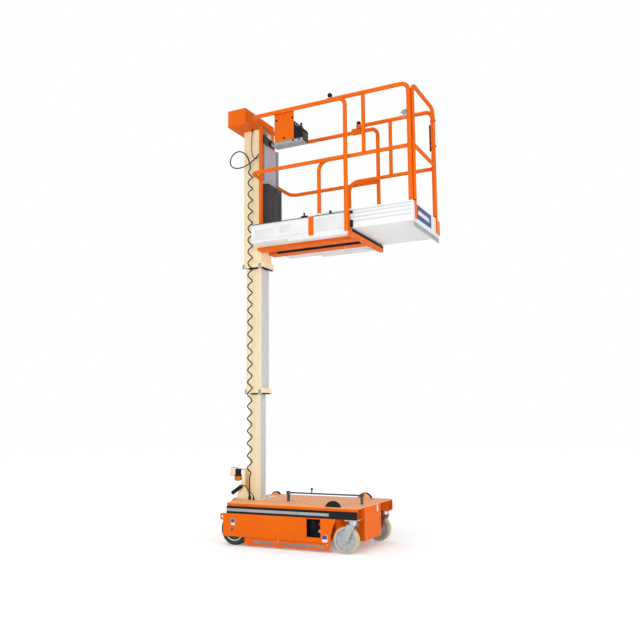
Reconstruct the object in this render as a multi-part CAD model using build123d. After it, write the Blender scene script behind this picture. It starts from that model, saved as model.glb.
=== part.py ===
from build123d import *
import math
import os

# Vertical mast lift: a short self-propelled base, a three-section telescoping
# mast at one end and a guarded platform with a roll-out extension deck.
# Millimetres, +Z up. X runs from the mast end to the extension end, Y across.
# Design x = 0 is the mast end of the side bumper; the finished solids are moved
# so that the origin lies under the middle of the whole machine.

# Fits and gaps that several pieces share
SEAT = 0.3
RUN_FIT = 0.05
CLEAR = 6.0
SIDES = [(-1, "near"), (1, "far")]

# Base: everything across follows the half width, everything along the bumper
BASE_HALF_W = 375.0
BUMPER_T = 7.0
BAND_T = 2.0
RAIL_OUT_Y = BASE_HALF_W - BUMPER_T - BAND_T
RAIL_DEPTH = 104.0
RAIL_IN_Y = RAIL_OUT_Y - RAIL_DEPTH
RAIL_WALL = 5.0
BAND_LEN = 926.0
BLOCK_GAP = 59.0
BLOCK_LEN = 176.0
BLOCK_X0 = BAND_LEN + BLOCK_GAP
BUMPER_LEN = BLOCK_X0 + BLOCK_LEN
BUMPER_Z0 = 256.0
BUMPER_H = 58.0
BAND_DROP = 18.0
BAND_H = 22.0
DECK_TOP = 342.0
DECK_T = 6.0
DECK_UNDER = DECK_TOP - DECK_T
DECK_X0 = -33.0
DECK_X1 = BUMPER_LEN + 4.0
SIDE_X0 = 0.0
PANEL_T = 8.0
PANEL_OUT_Y = BASE_HALF_W - 3.0
PANEL_IN_Y = PANEL_OUT_Y - PANEL_T
PANEL_Z0 = 74.0
ARCH_LEN = 54.0
ARCH_X0 = BLOCK_X0 - ARCH_LEN
AXLE_HOLE_R = 13.0
RECESS_X0 = 732.0
RECESS_L = 121.0
RECESS_Z0 = 110.0
RECESS_H = 138.0
RECESS_DEPTH = 60.0
RECESS_T = 3.0
TUB_X1 = ARCH_X0 - 1.0
TUB_HALF_W = RAIL_IN_Y
TUB_Z0 = 84.0
TUB_WALL = 6.0
NOSE_X1 = BUMPER_LEN - 26.0
NOSE_DROP = 11.0
TAIL_LEN = 71.0
TAIL_X0 = DECK_X0 - TAIL_LEN
TAIL_HALF_W = 130.0
TAIL_H = 36.0
PACK_X0 = 300.0
PACK_LEN = 600.0
PACK_SIDE_GAP = 30.0
PACK_H = 215.0
GUARD_LEN = 759.0
GUARD_X1 = ARCH_X0 - 8.0
GUARD_X0 = GUARD_X1 - GUARD_LEN
GUARD_T = 6.0
GUARD_OUT_Y = PANEL_IN_Y - CLEAR
GUARD_Z0 = 13.0
GUARD_TOP = 100.0
SLOT_Z0 = 28.0
SLOT_H = 24.0
GUARD_SLOTS = [
    # start and end as shares of the guard's length
    (0.109, 0.365),
    (0.443, 0.941),
]
GUARD_ARMS = [0.12, 0.95]
COVER_T = 5.0
COVER_HALF_W = RAIL_IN_Y - 44.0
COVER_GAP = 25.0
COVER_X0 = 262.0
COVER_SPLIT = 555.0
COVER_X1 = BUMPER_LEN - 37.0
LUG_REACH = 33.0
LUG_T = 8.0
LUG_Z0 = 200.0
LUG_H = 50.0
LUG_EYE_R = 10.0
PAD_R = 66.0
PAD_H = 46.0
PAD_T = 14.0
PAD_PLATE_T = 8.0
PAD_RIM = 8.0
PAD_OUT_Y = RAIL_OUT_Y - 11.0
PADS = [
    # side, x of the middle, radius, height
    (-1, 950.0, PAD_R, PAD_H),
    (1, 926.0, PAD_R, PAD_H),
    (1, 60.0, 0.7 * PAD_R, 0.6 * PAD_H),
]

# Wheels
DRIVE_R = 127.0
DRIVE_X = 56.0
DRIVE_W = 68.0
DRIVE_SIDE_GAP = 18.0
DRIVE_Y = PANEL_IN_Y - DRIVE_SIDE_GAP - DRIVE_W / 2
DRIVE_RIM_R = 0.725 * DRIVE_R
WELL_HALF = 0.28 * DRIVE_R
RIM_T = 8.0
RIM_DISC_T = 10.0
HUB_R = 24.0
HUB_LEN = 50.0
HUB_WALL = 14.0
MOTOR_R = 58.0
CASTOR_R = 102.0
CASTOR_W = 44.0
CASTOR_Y = BASE_HALF_W - CASTOR_W
CASTOR_X = BUMPER_LEN - 56.0
CASTOR_TRAIL = 50.0
CASTOR_TREAD = 14.0
CASTOR_AXLE_R = 8.0
CASTOR_SIDE_GAP = 5.0
FORK_T = 5.0
FORK_TOP_HALF = 36.0
FORK_EYE_R = 26.0
CROWN_GAP = 9.0
CROWN_T = 6.0
KING_R = 17.0
RACE_R = 31.0
BEARING_T = 12.0
TOP_PLATE_T = 8.0
TOP_PLATE_L = 100.0
CASTOR_SWING = math.hypot(CASTOR_TRAIL + CASTOR_R, CASTOR_W / 2 + CASTOR_SIDE_GAP + FORK_T)
NOSE_HALF_W = CASTOR_Y - CASTOR_SWING - CLEAR

# Mast: each section is given by its half depth (x), half width (y), foot and top
MAST_X = 70.0
MAST_WALL = 6.0
FOOT_T = 12.0
SECTIONS = [
    # name, half depth, half width, foot height, top height
    ("mast_lower", 55.5, 47.5, DECK_TOP + FOOT_T, 1400.0),
    ("mast_middle", 76.0, 67.5, 1240.0, 2490.0),
    ("mast_upper", 88.0, 91.5, 2340.0, 3593.0),
]
FLUTE_AT = 0.70
FLUTE_W = 0.22
FLUTE_DEPTH = 2.0
COLLAR_H = 42.0
COLLAR_T = 9.0
COLLAR_FRONT = 22.0
WEAR_DROP = 12.0
WEAR_H = 80.0
WEAR_SHARE = 0.56
GUSSET_T = 8.0
GUSSET_H = 250.0
GUSSET_LOW = 90.0
GUSSET_NOSE = 2.0
GUSSET_REAR = 34.0
WEB_LOW = 73.0
WEB_HALF_W = 50.0
GUSSET_IN_Y = SECTIONS[2][2] + COLLAR_T + 7.5
GUSSET_WEB_X = MAST_X - SECTIONS[2][1] - COLLAR_T - CLEAR - 11.0
FOOT_FRONT = 60.0
HEAD_X0 = -88.0
HEAD_LEN = 182.0
HEAD_HALF_W = 250.0
HEAD_Z0 = SECTIONS[2][4]
HEAD_H = 150.0
HEAD_WALL = 4.0

# Platform
FLOOR_Z = 2500.0
FLOOR_T = 5.0
FLOOR_UNDER = FLOOR_Z - FLOOR_T
PLAT_LEN = 906.0
PLAT_X0 = 209.0
PLAT_X1 = PLAT_X0 + PLAT_LEN
TOE_T = 4.0
TOE_OUT_Y = BASE_HALF_W - 38.0
TOE_IN_Y = TOE_OUT_Y - TOE_T
TOE_H = 146.0
TOE_TOP = FLOOR_Z + TOE_H
TOE_DROP = 13.0
TOE_BOTTOM = FLOOR_Z - TOE_DROP
TUBE_R = 17.0
RAIL_Y = TOE_OUT_Y + TUBE_R + SEAT
RAIL_H = 1083.0
RAIL_TOP_Z = FLOOR_Z + RAIL_H
RAIL_MID_Z = FLOOR_Z + 0.5457 * RAIL_H
RAIL_X0 = PLAT_X0 + 13.0
POST_X1 = PLAT_X1 - TUBE_R
END_POST_Y = 200.0
RAIL_BEND = 62.0
ARM_IN_Y = 44.0
ARM_OUT_Y = 148.0
ARM_H = 27.0
CROSS_X = PLAT_X1 + 22.0
CROSS_L = 34.0
CROSS_H = 49.0
CHANNEL_X0 = PLAT_X0 + 351.0
CHANNEL_IN_Y = TOE_OUT_Y - 37.0
CHANNEL_Z0 = FLOOR_UNDER - 28.0
STRAP_W = 46.0
STRAP_T = 4.0
STRAP_X = 777.0
SLEEVE_X = 853.0
SLEEVE_L = 97.0
SLEEVE_T = 3.0
BACK_T = 4.0
BACK_NEAR = 152.0
BACK_FAR = 105.0
DOC_T = 81.0
DOC_H = 345.0
CONTROL_X0 = 438.0
CONTROL_PLATE_L = 183.0
CONTROL_T = 5.0
CONTROL_H = 254.0
UNIT_L = 112.0
UNIT_W = 102.0
BRACKET_T = 12.0
BRACKET_HALF_W = 70.0
BRACKET_FLANGE = 8.0
BRACKET_TOP = RAIL_TOP_Z - 103.0

# Extension: rolls along the main deck, on slides, between the toe boards
EXT_X0 = 815.0
EXT_LEN = 825.0
EXT_X1 = EXT_X0 + EXT_LEN
EXT_GAP = 10.0
EXT_OUT_Y = TOE_IN_Y - EXT_GAP
EXT_RAIL_Y = EXT_OUT_Y - TUBE_R
EXT_LIFT = 6.0
EXT_FLOOR_T = 10.0
EXT_FLOOR_Z0 = FLOOR_Z + EXT_LIFT
EXT_TOE_T = 4.0
EXT_TOE_TOP = TOE_TOP + 20.0
EXT_TOP_Z = RAIL_TOP_Z + 30.0
EXT_MID_Z = EXT_TOE_TOP + 0.4657 * (EXT_TOP_Z - EXT_TOE_TOP)
EXT_TOP_X0 = 925.0
EXT_HOOP_X = EXT_X0 + 22.0
EXT_POST_X = EXT_X1 - 21.0
EXT_STRUT_X = 1237.0
HOOP_BEND = 85.0
END_BOARD_Z0 = FLOOR_Z - 38.0
END_BOARD_TOP = EXT_TOE_TOP - 6.0
SLIDE_LEN = 60.0
SLIDE_W = 40.0
SLIDES_X = [EXT_X0 + 15.0, EXT_X0 + 195.0]

# Gate at the end of the extension; it swings in and lies along the far rail
GATE_R = 16.0
GATE_X = EXT_X1 - 3.0
GATE_HALF_W = EXT_RAIL_Y - TUBE_R - CLEAR - GATE_R
GATE_Z0 = END_BOARD_TOP + 18.0
GATE_TOP_Z = EXT_TOP_Z + 1.0
GATE_MID_Z = GATE_Z0 + 0.4747 * (GATE_TOP_Z - GATE_Z0)
GATE_PIN_R = 7.0
GATE_PIN_H = 60.0
STUB_H = 142.0
STUB_GAP = 6.0
HINGE_Z = GATE_MID_Z + 0.325 * (GATE_TOP_Z - GATE_MID_Z)
HINGE_STEP = 0.46 * (GATE_TOP_Z - GATE_MID_Z)
HINGE_T = 10.0
HINGE_WALL = 8.0

# Whole length, used to centre the machine
BEACON_X0 = TAIL_X0 - 69.0
X_MIN = BEACON_X0
X_MAX = EXT_X1 + 26.0
X_MID = (X_MIN + X_MAX) / 2


def box(x0, x1, y0, y1, z0, z1):
    return Pos((x0 + x1) / 2, (y0 + y1) / 2, (z0 + z1) / 2) * Box(x1 - x0, y1 - y0, z1 - z0)


def side_box(s, x0, x1, y0, y1, z0, z1):
    lo, hi = sorted((s * y0, s * y1))
    return box(x0, x1, lo, hi, z0, z1)


def rod(p, q, r):
    """Round bar from p to q."""
    d = Vector(*q) - Vector(*p)
    return Plane(origin=p, z_dir=d) * extrude(Circle(r), d.length)


def cyl(x, y, z0, z1, r):
    return Pos(x, y, z0) * extrude(Circle(r), z1 - z0)


def cyl_y(x, z, y0, y1, r):
    lo, hi = sorted((y0, y1))
    return Plane(origin=(x, lo, z), z_dir=(0, 1, 0)) * extrude(Circle(r), hi - lo)


def bent(points, bends, r):
    """Round bar along straight runs joined by tangent bends."""
    path = FilletPolyline(*points, radius=bends)
    start = Plane(origin=path @ 0, z_dir=path % 0)
    return sweep(start * Circle(r), path=path)


def fuse(*parts):
    out = parts[0]
    for p in parts[1:]:
        out = out + p
    return out


def profile_y(points, y0, y1):
    """Prism across Y from an outline in x and z."""
    lo, hi = sorted((y0, y1))
    face = make_face(Polyline(*[(x, z) for x, z in points], close=True))
    plane = Plane(origin=(0, lo, 0), x_dir=(1, 0, 0), z_dir=(0, -1, 0))
    return extrude(plane * face, -(hi - lo))


nodes = {}

# Side structure: a rail along each side with open channel ends at the nose, and
# below it a panel that hides the drive wheel and arches over the castor. Behind
# each panel a tie-down lug with one round eye stands out to the rear.
for s, side in SIDES:
    rail = side_box(s, SIDE_X0, DECK_X1, RAIL_IN_Y, RAIL_OUT_Y, BUMPER_Z0, DECK_UNDER)
    rail -= side_box(
        s, SIDE_X0 + RAIL_WALL, DECK_X1,
        RAIL_IN_Y + RAIL_WALL, RAIL_OUT_Y - RAIL_WALL,
        BUMPER_Z0 + RAIL_WALL, DECK_UNDER - RAIL_WALL,
    )
    rail -= side_box(
        s, DRIVE_X - WELL_HALF, DRIVE_X + WELL_HALF,
        DRIVE_Y - DRIVE_W / 2 - CLEAR, DRIVE_Y + DRIVE_W / 2 + CLEAR,
        BUMPER_Z0, BUMPER_Z0 + RAIL_WALL,
    )
    outline = [
        (DECK_X0, PANEL_Z0),
        (ARCH_X0, PANEL_Z0),
        (ARCH_X0 + 0.11 * ARCH_LEN, PANEL_Z0 + 0.25 * (BUMPER_Z0 - PANEL_Z0)),
        (ARCH_X0 + 0.37 * ARCH_LEN, PANEL_Z0 + 0.58 * (BUMPER_Z0 - PANEL_Z0)),
        (BLOCK_X0, BUMPER_Z0),
        (DECK_X0, BUMPER_Z0),
    ]
    panel = profile_y(outline, s * PANEL_IN_Y, s * PANEL_OUT_Y)
    panel -= cyl_y(DRIVE_X, DRIVE_R, s * PANEL_IN_Y, s * PANEL_OUT_Y, AXLE_HOLE_R)
    if side == "near":
        panel -= side_box(
            s, RECESS_X0, RECESS_X0 + RECESS_L, PANEL_IN_Y, PANEL_OUT_Y, RECESS_Z0, RECESS_Z0 + RECESS_H
        )
    lug = side_box(
        s, DECK_X0 - LUG_REACH, DECK_X0 + LUG_REACH, PANEL_IN_Y - LUG_T, PANEL_IN_Y, LUG_Z0, LUG_Z0 + LUG_H
    )
    lug -= cyl_y(
        DECK_X0 - LUG_REACH / 2, LUG_Z0 + LUG_H / 2, s * (PANEL_IN_Y - LUG_T), s * PANEL_IN_Y, LUG_EYE_R
    )
    nodes["chassis_side_" + side] = rail + panel + lug

# Pan behind the opening in the near panel, with the charger inlet and a switch.
pan_y0 = PANEL_IN_Y - RECESS_DEPTH
pan = side_box(
    -1, RECESS_X0 - RECESS_T, RECESS_X0 + RECESS_L + RECESS_T, pan_y0, PANEL_IN_Y,
    RECESS_Z0 - RECESS_T, BUMPER_Z0,
)
pan -= side_box(
    -1, RECESS_X0, RECESS_X0 + RECESS_L, pan_y0 + RECESS_T, PANEL_IN_Y, RECESS_Z0, RECESS_Z0 + RECESS_H
)
inlet_x = RECESS_X0 + 0.33 * RECESS_L
inlet_z = RECESS_Z0 + 0.55 * RECESS_H
inlet = cyl_y(inlet_x, inlet_z, -pan_y0 - RECESS_T, -pan_y0 - RECESS_T - 22.0, 0.2 * RECESS_L)
pan += inlet - cyl_y(inlet_x, inlet_z, -pan_y0 - RECESS_T - 6.0, -pan_y0 - RECESS_T - 22.0, 0.15 * RECESS_L)
for share in (0.3, 0.7):
    knob_z = RECESS_Z0 + share * RECESS_H
    pan += cyl_y(
        RECESS_X0 + 0.77 * RECESS_L, knob_z, -pan_y0 - RECESS_T, -pan_y0 - RECESS_T - 16.0, 0.1 * RECESS_L
    )
nodes["recess_pan"] = pan

tub = box(DECK_X0, TUB_X1, -TUB_HALF_W, TUB_HALF_W, TUB_Z0, DECK_UNDER)
tub -= box(
    DECK_X0 + TUB_WALL, TUB_X1 - TUB_WALL, -TUB_HALF_W + TUB_WALL, TUB_HALF_W - TUB_WALL,
    TUB_Z0 + TUB_WALL, DECK_UNDER,
)
nose = box(TUB_X1, NOSE_X1, -NOSE_HALF_W, NOSE_HALF_W, TUB_Z0 - NOSE_DROP, DECK_UNDER)
nose -= box(
    TUB_X1, NOSE_X1 - TUB_WALL, -NOSE_HALF_W + TUB_WALL, NOSE_HALF_W - TUB_WALL,
    TUB_Z0 - NOSE_DROP + TUB_WALL, DECK_UNDER,
)
tail = box(TAIL_X0, DECK_X0, -TAIL_HALF_W, TAIL_HALF_W, DECK_TOP - TAIL_H, DECK_TOP)
tub -= cyl_y(DRIVE_X, DRIVE_R, -TUB_HALF_W, TUB_HALF_W, MOTOR_R)
nodes["chassis_tub"] = fuse(tub, nose, tail)

# Deck plate with two raised service covers. Round guard plates edged in rubber
# stand on it, one on the near side and two on the far side.
deck = box(DECK_X0, DECK_X1, -RAIL_IN_Y, RAIL_IN_Y, DECK_UNDER, DECK_TOP)
deck += box(SIDE_X0, DECK_X1, -RAIL_OUT_Y, RAIL_OUT_Y, DECK_UNDER, DECK_TOP)
deck += box(
    COVER_SPLIT, COVER_SPLIT + COVER_GAP, -COVER_HALF_W, COVER_HALF_W, DECK_TOP, DECK_TOP + 0.6 * COVER_T
)
rubber_pads = []
for s, x, r, h in PADS:
    pad_z = DECK_TOP + h - r
    above = box(x - r, x + r, -BASE_HALF_W, BASE_HALF_W, DECK_TOP, DECK_TOP + h)
    outer = cyl_y(x, pad_z, s * PAD_OUT_Y, s * (PAD_OUT_Y - PAD_T), r)
    inner = cyl_y(x, pad_z, s * (PAD_OUT_Y - PAD_T), s * (PAD_OUT_Y - PAD_T - PAD_PLATE_T), r)
    core = cyl_y(x, pad_z, s * (PAD_OUT_Y - PAD_T), s * (PAD_OUT_Y - PAD_T - PAD_PLATE_T), r - PAD_RIM)
    deck += core & above
    rubber_pads.append((outer & above) + ((inner - core) & above))
nodes["deck_plate"] = deck
nodes["step_pads"] = Compound(rubber_pads)

covers = []
for x0, x1 in ((COVER_X0, COVER_SPLIT), (COVER_SPLIT + COVER_GAP, COVER_X1)):
    cover = box(x0, x1, -COVER_HALF_W, COVER_HALF_W, DECK_TOP, DECK_TOP + COVER_T)
    covers.append(chamfer(cover.edges().group_by(Axis.Z)[-1], 0.4 * COVER_T))
nodes["deck_covers"] = Compound(covers)

# Bumper: a rubber strip along each rail with a bright band let into it, ending in
# a thick rubber block at the nose.
rubber = []
bands = []
for s, side in SIDES:
    strip = side_box(s, 0.0, BUMPER_LEN, RAIL_OUT_Y, RAIL_OUT_Y + BUMPER_T, BUMPER_Z0, BUMPER_Z0 + BUMPER_H)
    strip += side_box(s, BLOCK_X0, BUMPER_LEN, RAIL_OUT_Y, BASE_HALF_W, BUMPER_Z0, BUMPER_Z0 + BUMPER_H)
    rubber.append(strip)
    bands.append(side_box(
        s, 0.0, BAND_LEN, RAIL_OUT_Y + BUMPER_T, BASE_HALF_W,
        BUMPER_Z0 + BAND_DROP, BUMPER_Z0 + BAND_DROP + BAND_H,
    ))
nodes["bumper_rubber"] = Compound(rubber)
nodes["bumper_band"] = Compound(bands)

# Pothole guards: slotted plates low under each side, on two arms each.
for s, side in SIDES:
    guard = side_box(s, GUARD_X0, GUARD_X1, GUARD_OUT_Y - GUARD_T, GUARD_OUT_Y, GUARD_Z0, GUARD_TOP)
    for a, b in GUARD_SLOTS:
        guard -= side_box(
            s, GUARD_X0 + a * GUARD_LEN, GUARD_X0 + b * GUARD_LEN, GUARD_OUT_Y - GUARD_T, GUARD_OUT_Y,
            SLOT_Z0, SLOT_Z0 + SLOT_H,
        )
    for share in GUARD_ARMS:
        x = GUARD_X0 + share * GUARD_LEN
        guard += side_box(s, x - 20, x + 20, TUB_HALF_W, GUARD_OUT_Y - GUARD_T, GUARD_TOP - 24, GUARD_TOP)
    nodes["pothole_guard_" + side] = guard

# Brake release: a long rod over the covers on two brackets, with a knobbed lever.
ROD_Y = -145.0
ROD_RISE = 68.0
ROD_R = 6.5
ROD_X0 = 453.0
ROD_LEN = 665.0
LEVER_X = 667.0
LEVER_H = 30.0
KNOB_R = 11.0
rod_z = DECK_TOP + COVER_T + ROD_RISE
release = rod((ROD_X0 - 12, ROD_Y, rod_z), (ROD_X0 + ROD_LEN + 6, ROD_Y, rod_z), ROD_R)
for x in (ROD_X0, ROD_X0 + ROD_LEN - 2 * ROD_R):
    arm = box(x - ROD_R, x + ROD_R, ROD_Y - 2 * ROD_R, ROD_Y + 2 * ROD_R, DECK_TOP + COVER_T, rod_z)
    release += arm + cyl_y(x, rod_z, ROD_Y - 2 * ROD_R, ROD_Y + 2 * ROD_R, 2.4 * ROD_R)
release += rod((LEVER_X, ROD_Y, rod_z), (LEVER_X, ROD_Y, rod_z + LEVER_H), 0.8 * ROD_R)
release += Pos(LEVER_X, ROD_Y, rod_z + LEVER_H + 0.5 * KNOB_R) * Sphere(KNOB_R)
nodes["release_rod"] = release

# Axle: a gearbox in the tub with a motor and a stub to each drive wheel.
axle_half = 70.0
axle = box(DRIVE_X - axle_half, DRIVE_X + axle_half, -120, 120, TUB_Z0 + TUB_WALL, DRIVE_R + 83.0)
for s, side in SIDES:
    axle += cyl_y(DRIVE_X, DRIVE_R, s * 120.0, s * (TUB_HALF_W + CLEAR), MOTOR_R - 8)
    axle += cyl_y(DRIVE_X, DRIVE_R, s * (TUB_HALF_W + CLEAR), s * (DRIVE_Y + DRIVE_W / 2 + 4), HUB_R)
nodes["drive_axle"] = axle

nodes["power_pack"] = box(
    PACK_X0, PACK_X0 + PACK_LEN, -TUB_HALF_W + PACK_SIDE_GAP, TUB_HALF_W - PACK_SIDE_GAP,
    TUB_Z0 + TUB_WALL, TUB_Z0 + TUB_WALL + PACK_H,
)

# Drive wheels: solid tyre on a pressed rim with a dished disc and a hub.
for s, side in SIDES:
    y0 = s * DRIVE_Y - DRIVE_W / 2
    plane = Plane(origin=(DRIVE_X, y0, DRIVE_R), z_dir=(0, 1, 0))
    tyre = plane * extrude(Circle(DRIVE_R) - Circle(DRIVE_RIM_R), DRIVE_W)
    tyre = fillet(tyre.edges().filter_by(GeomType.CIRCLE).sort_by(SortBy.RADIUS)[-2:], 0.13 * DRIVE_W)
    nodes["drive_tyre_" + side] = tyre
    rim = plane * extrude(Circle(DRIVE_RIM_R) - Circle(DRIVE_RIM_R - RIM_T), DRIVE_W)
    disc = Plane(origin=(DRIVE_X, s * DRIVE_Y - RIM_DISC_T / 2, DRIVE_R), z_dir=(0, 1, 0))
    rim += disc * extrude(Circle(DRIVE_RIM_R - RIM_T / 2) - Circle(HUB_R + RUN_FIT), RIM_DISC_T)
    rim += Plane(origin=(DRIVE_X, s * DRIVE_Y - HUB_LEN / 2, DRIVE_R), z_dir=(0, 1, 0)) * extrude(
        Circle(HUB_R + HUB_WALL) - Circle(HUB_R + RUN_FIT), HUB_LEN
    )
    nodes["drive_rim_" + side] = rim

# Castors: bolted top plate and race, fork with trail whose legs taper to round
# eyes, and a wheel with a soft tread on a ribbed hub.
AXLE_X = CASTOR_X - CASTOR_TRAIL
CROWN_Z = 2 * CASTOR_R + CROWN_GAP
CROWN_TOP = CROWN_Z + CROWN_T
HEAD_TOP = CROWN_TOP + BEARING_T
LEG_IN = CASTOR_W / 2 + CASTOR_SIDE_GAP
plates = []
for s, side in SIDES:
    yc = s * CASTOR_Y
    half_plate = CASTOR_W - CLEAR
    plate = box(
        CASTOR_X - TOP_PLATE_L / 2, CASTOR_X + TOP_PLATE_L / 2, yc - half_plate, yc + half_plate,
        BUMPER_Z0 - TOP_PLATE_T, BUMPER_Z0,
    )
    plate += cyl(CASTOR_X, yc, HEAD_TOP, BUMPER_Z0 - TOP_PLATE_T, RACE_R + 3)
    plate += cyl(CASTOR_X, yc, CROWN_Z - 4, HEAD_TOP, KING_R)
    plates.append(plate)
    fork = box(
        CASTOR_X - FORK_TOP_HALF, CASTOR_X + FORK_TOP_HALF, yc - LEG_IN - FORK_T, yc + LEG_IN + FORK_T,
        CROWN_Z, CROWN_TOP,
    )
    fork += cyl(CASTOR_X, yc, CROWN_TOP, HEAD_TOP - SEAT, RACE_R)
    fork -= cyl(CASTOR_X, yc, CROWN_Z, HEAD_TOP, KING_R + RUN_FIT)
    for t in (-1, 1):
        y_in, y_out = yc + t * LEG_IN, yc + t * (LEG_IN + FORK_T)
        leg = profile_y(
            [
                (CASTOR_X + FORK_TOP_HALF, CROWN_TOP), (CASTOR_X - FORK_TOP_HALF, CROWN_TOP),
                (AXLE_X - FORK_EYE_R, CASTOR_R), (AXLE_X + FORK_EYE_R, CASTOR_R),
            ],
            y_in, y_out,
        )
        fork += leg + cyl_y(AXLE_X, CASTOR_R, y_in, y_out, FORK_EYE_R)
    fork += cyl_y(AXLE_X, CASTOR_R, yc - LEG_IN - FORK_T - 4, yc + LEG_IN + FORK_T + 4, CASTOR_AXLE_R)
    nodes["castor_fork_" + side] = fork
    wheel_plane = Plane(origin=(AXLE_X, yc - CASTOR_W / 2, CASTOR_R), z_dir=(0, 1, 0))
    tread = wheel_plane * extrude(Circle(CASTOR_R) - Circle(CASTOR_R - CASTOR_TREAD), CASTOR_W)
    tread = fillet(tread.edges().filter_by(GeomType.CIRCLE).sort_by(SortBy.RADIUS)[-2:], 0.14 * CASTOR_W)
    nodes["castor_tread_" + side] = tread
    hub_r = CASTOR_R - CASTOR_TREAD
    hub = Plane(origin=(AXLE_X, yc - 0.2 * CASTOR_W, CASTOR_R), z_dir=(0, 1, 0)) * extrude(
        Circle(hub_r - 4) - Circle(CASTOR_AXLE_R + RUN_FIT), 0.4 * CASTOR_W
    )
    hub += wheel_plane * extrude(Circle(hub_r) - Circle(hub_r - 8), CASTOR_W)
    hub += wheel_plane * extrude(Circle(FORK_EYE_R) - Circle(CASTOR_AXLE_R + RUN_FIT), CASTOR_W)
    nodes["castor_hub_" + side] = hub
nodes["castor_plates"] = Compound(plates)

# Mast sections: fluted hollow extrusions, the lowest innermost. The two moving ones
# carry a collar round the foot, with wear pads that bear on the section inside.
for i, (name, hx, hy, z0, z1) in enumerate(SECTIONS):
    section = Rectangle(2 * hx, 2 * hy)
    section = fillet(section.vertices(), MAST_WALL / 2)
    section -= Rectangle(2 * (hx - MAST_WALL), 2 * (hy - MAST_WALL))
    for s in (-1, 1):
        for t in (-1, 1):
            section -= Pos(s * FLUTE_AT * hx, t * hy) * Rectangle(FLUTE_W * hx, 2 * FLUTE_DEPTH)
            section -= Pos(s * hx, t * FLUTE_AT * hy) * Rectangle(2 * FLUTE_DEPTH, FLUTE_W * hy)
    nodes[name] = Pos(MAST_X, 0, z0) * extrude(section, z1 - z0)
    if i == 0:
        continue
    stem = name.split("_")[1]
    cy = hy + COLLAR_T
    collar = box(MAST_X - hx - COLLAR_T, MAST_X + hx + COLLAR_FRONT, -cy, cy, z0, z0 + COLLAR_H)
    collar = fillet(collar.edges().filter_by(Axis.Z), 0.6 * COLLAR_T)
    collar -= box(MAST_X - hx, MAST_X + hx, -hy, hy, z0, z0 + COLLAR_H)
    nodes[stem + "_collar"] = collar
    in_x, in_y = SECTIONS[i - 1][1], SECTIONS[i - 1][2]
    wear = []
    for s in (-1, 1):
        x0, x1 = sorted((s * (in_x + SEAT), s * (hx - MAST_WALL)))
        half = WEAR_SHARE * in_y
        wear.append(box(MAST_X + x0, MAST_X + x1, -half, half, z0 - WEAR_DROP, z0 - WEAR_DROP + WEAR_H))
        y0, y1 = sorted((s * (in_y + SEAT), s * (hy - MAST_WALL)))
        half = WEAR_SHARE * in_x
        wear.append(box(MAST_X - half, MAST_X + half, y0, y1, z0 - WEAR_DROP, z0 - WEAR_DROP + WEAR_H))
    nodes[stem + "_pads"] = Compound(wear)

# Foot: base plate, a gusset on each side and a web between them behind the mast.
foot_z = DECK_TOP
hx = SECTIONS[0][1]
foot_half_w = GUSSET_IN_Y + GUSSET_T
foot_x0 = TAIL_X0 + 8
foot = box(foot_x0, MAST_X + hx + FOOT_FRONT, -foot_half_w, foot_half_w, foot_z, foot_z + FOOT_T)
for s, side in SIDES:
    foot += profile_y(
        [
            (MAST_X - 10, foot_z + FOOT_T),
            (MAST_X - hx, foot_z + FOOT_T + GUSSET_LOW), (MAST_X - hx, foot_z + GUSSET_H),
            (MAST_X - hx - GUSSET_NOSE, foot_z + GUSSET_H), (foot_x0 + GUSSET_REAR, foot_z + FOOT_T + 20),
            (foot_x0 + GUSSET_REAR, foot_z + FOOT_T),
        ],
        s * GUSSET_IN_Y, s * foot_half_w,
    )
for half, top in ((GUSSET_IN_Y, foot_z + FOOT_T + WEB_LOW), (WEB_HALF_W, foot_z + GUSSET_H)):
    foot += box(GUSSET_WEB_X, GUSSET_WEB_X + GUSSET_T, -half, half, foot_z + FOOT_T, top)
nodes["mast_foot"] = foot

# Head: a hollow box over the sheaves, closed below by the plate that sits on the mast.
head_x1 = HEAD_X0 + HEAD_LEN
head = box(HEAD_X0, head_x1, -HEAD_HALF_W, HEAD_HALF_W, HEAD_Z0, HEAD_Z0 + HEAD_H)
head -= box(
    HEAD_X0 + HEAD_WALL, head_x1 - HEAD_WALL, -HEAD_HALF_W + HEAD_WALL, HEAD_HALF_W - HEAD_WALL,
    HEAD_Z0 + HEAD_WALL, HEAD_Z0 + HEAD_H - HEAD_WALL,
)
nodes["mast_head"] = head

# Beacon hung behind the mast on a short arm.
BEACON_Y = -30.0
BEACON_R = 27.0
DOME_R = 33.0
DOME_H = 46.0
BEACON_Z = DECK_TOP + 187.0
BEACON_X = BEACON_X0 + 65.0
BEACON_H = 59.0
housing = box(
    BEACON_X0, BEACON_X - 18, BEACON_Y - 24, BEACON_Y + 24, BEACON_Z + 2, BEACON_Z + BEACON_H + 12
)
housing += cyl(BEACON_X, BEACON_Y, BEACON_Z, BEACON_Z + BEACON_H, BEACON_R)
housing += box(
    BEACON_X, GUSSET_WEB_X, BEACON_Y - 12, BEACON_Y + 12, BEACON_Z + BEACON_H - 6, BEACON_Z + BEACON_H
)
nodes["beacon_body"] = housing
dome = cyl(BEACON_X, BEACON_Y, BEACON_Z - DOME_H, BEACON_Z, DOME_R)
nodes["beacon_dome"] = fillet(dome.edges().filter_by(GeomType.CIRCLE).sort_by(Axis.Z)[0], 0.5 * DOME_H)

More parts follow.
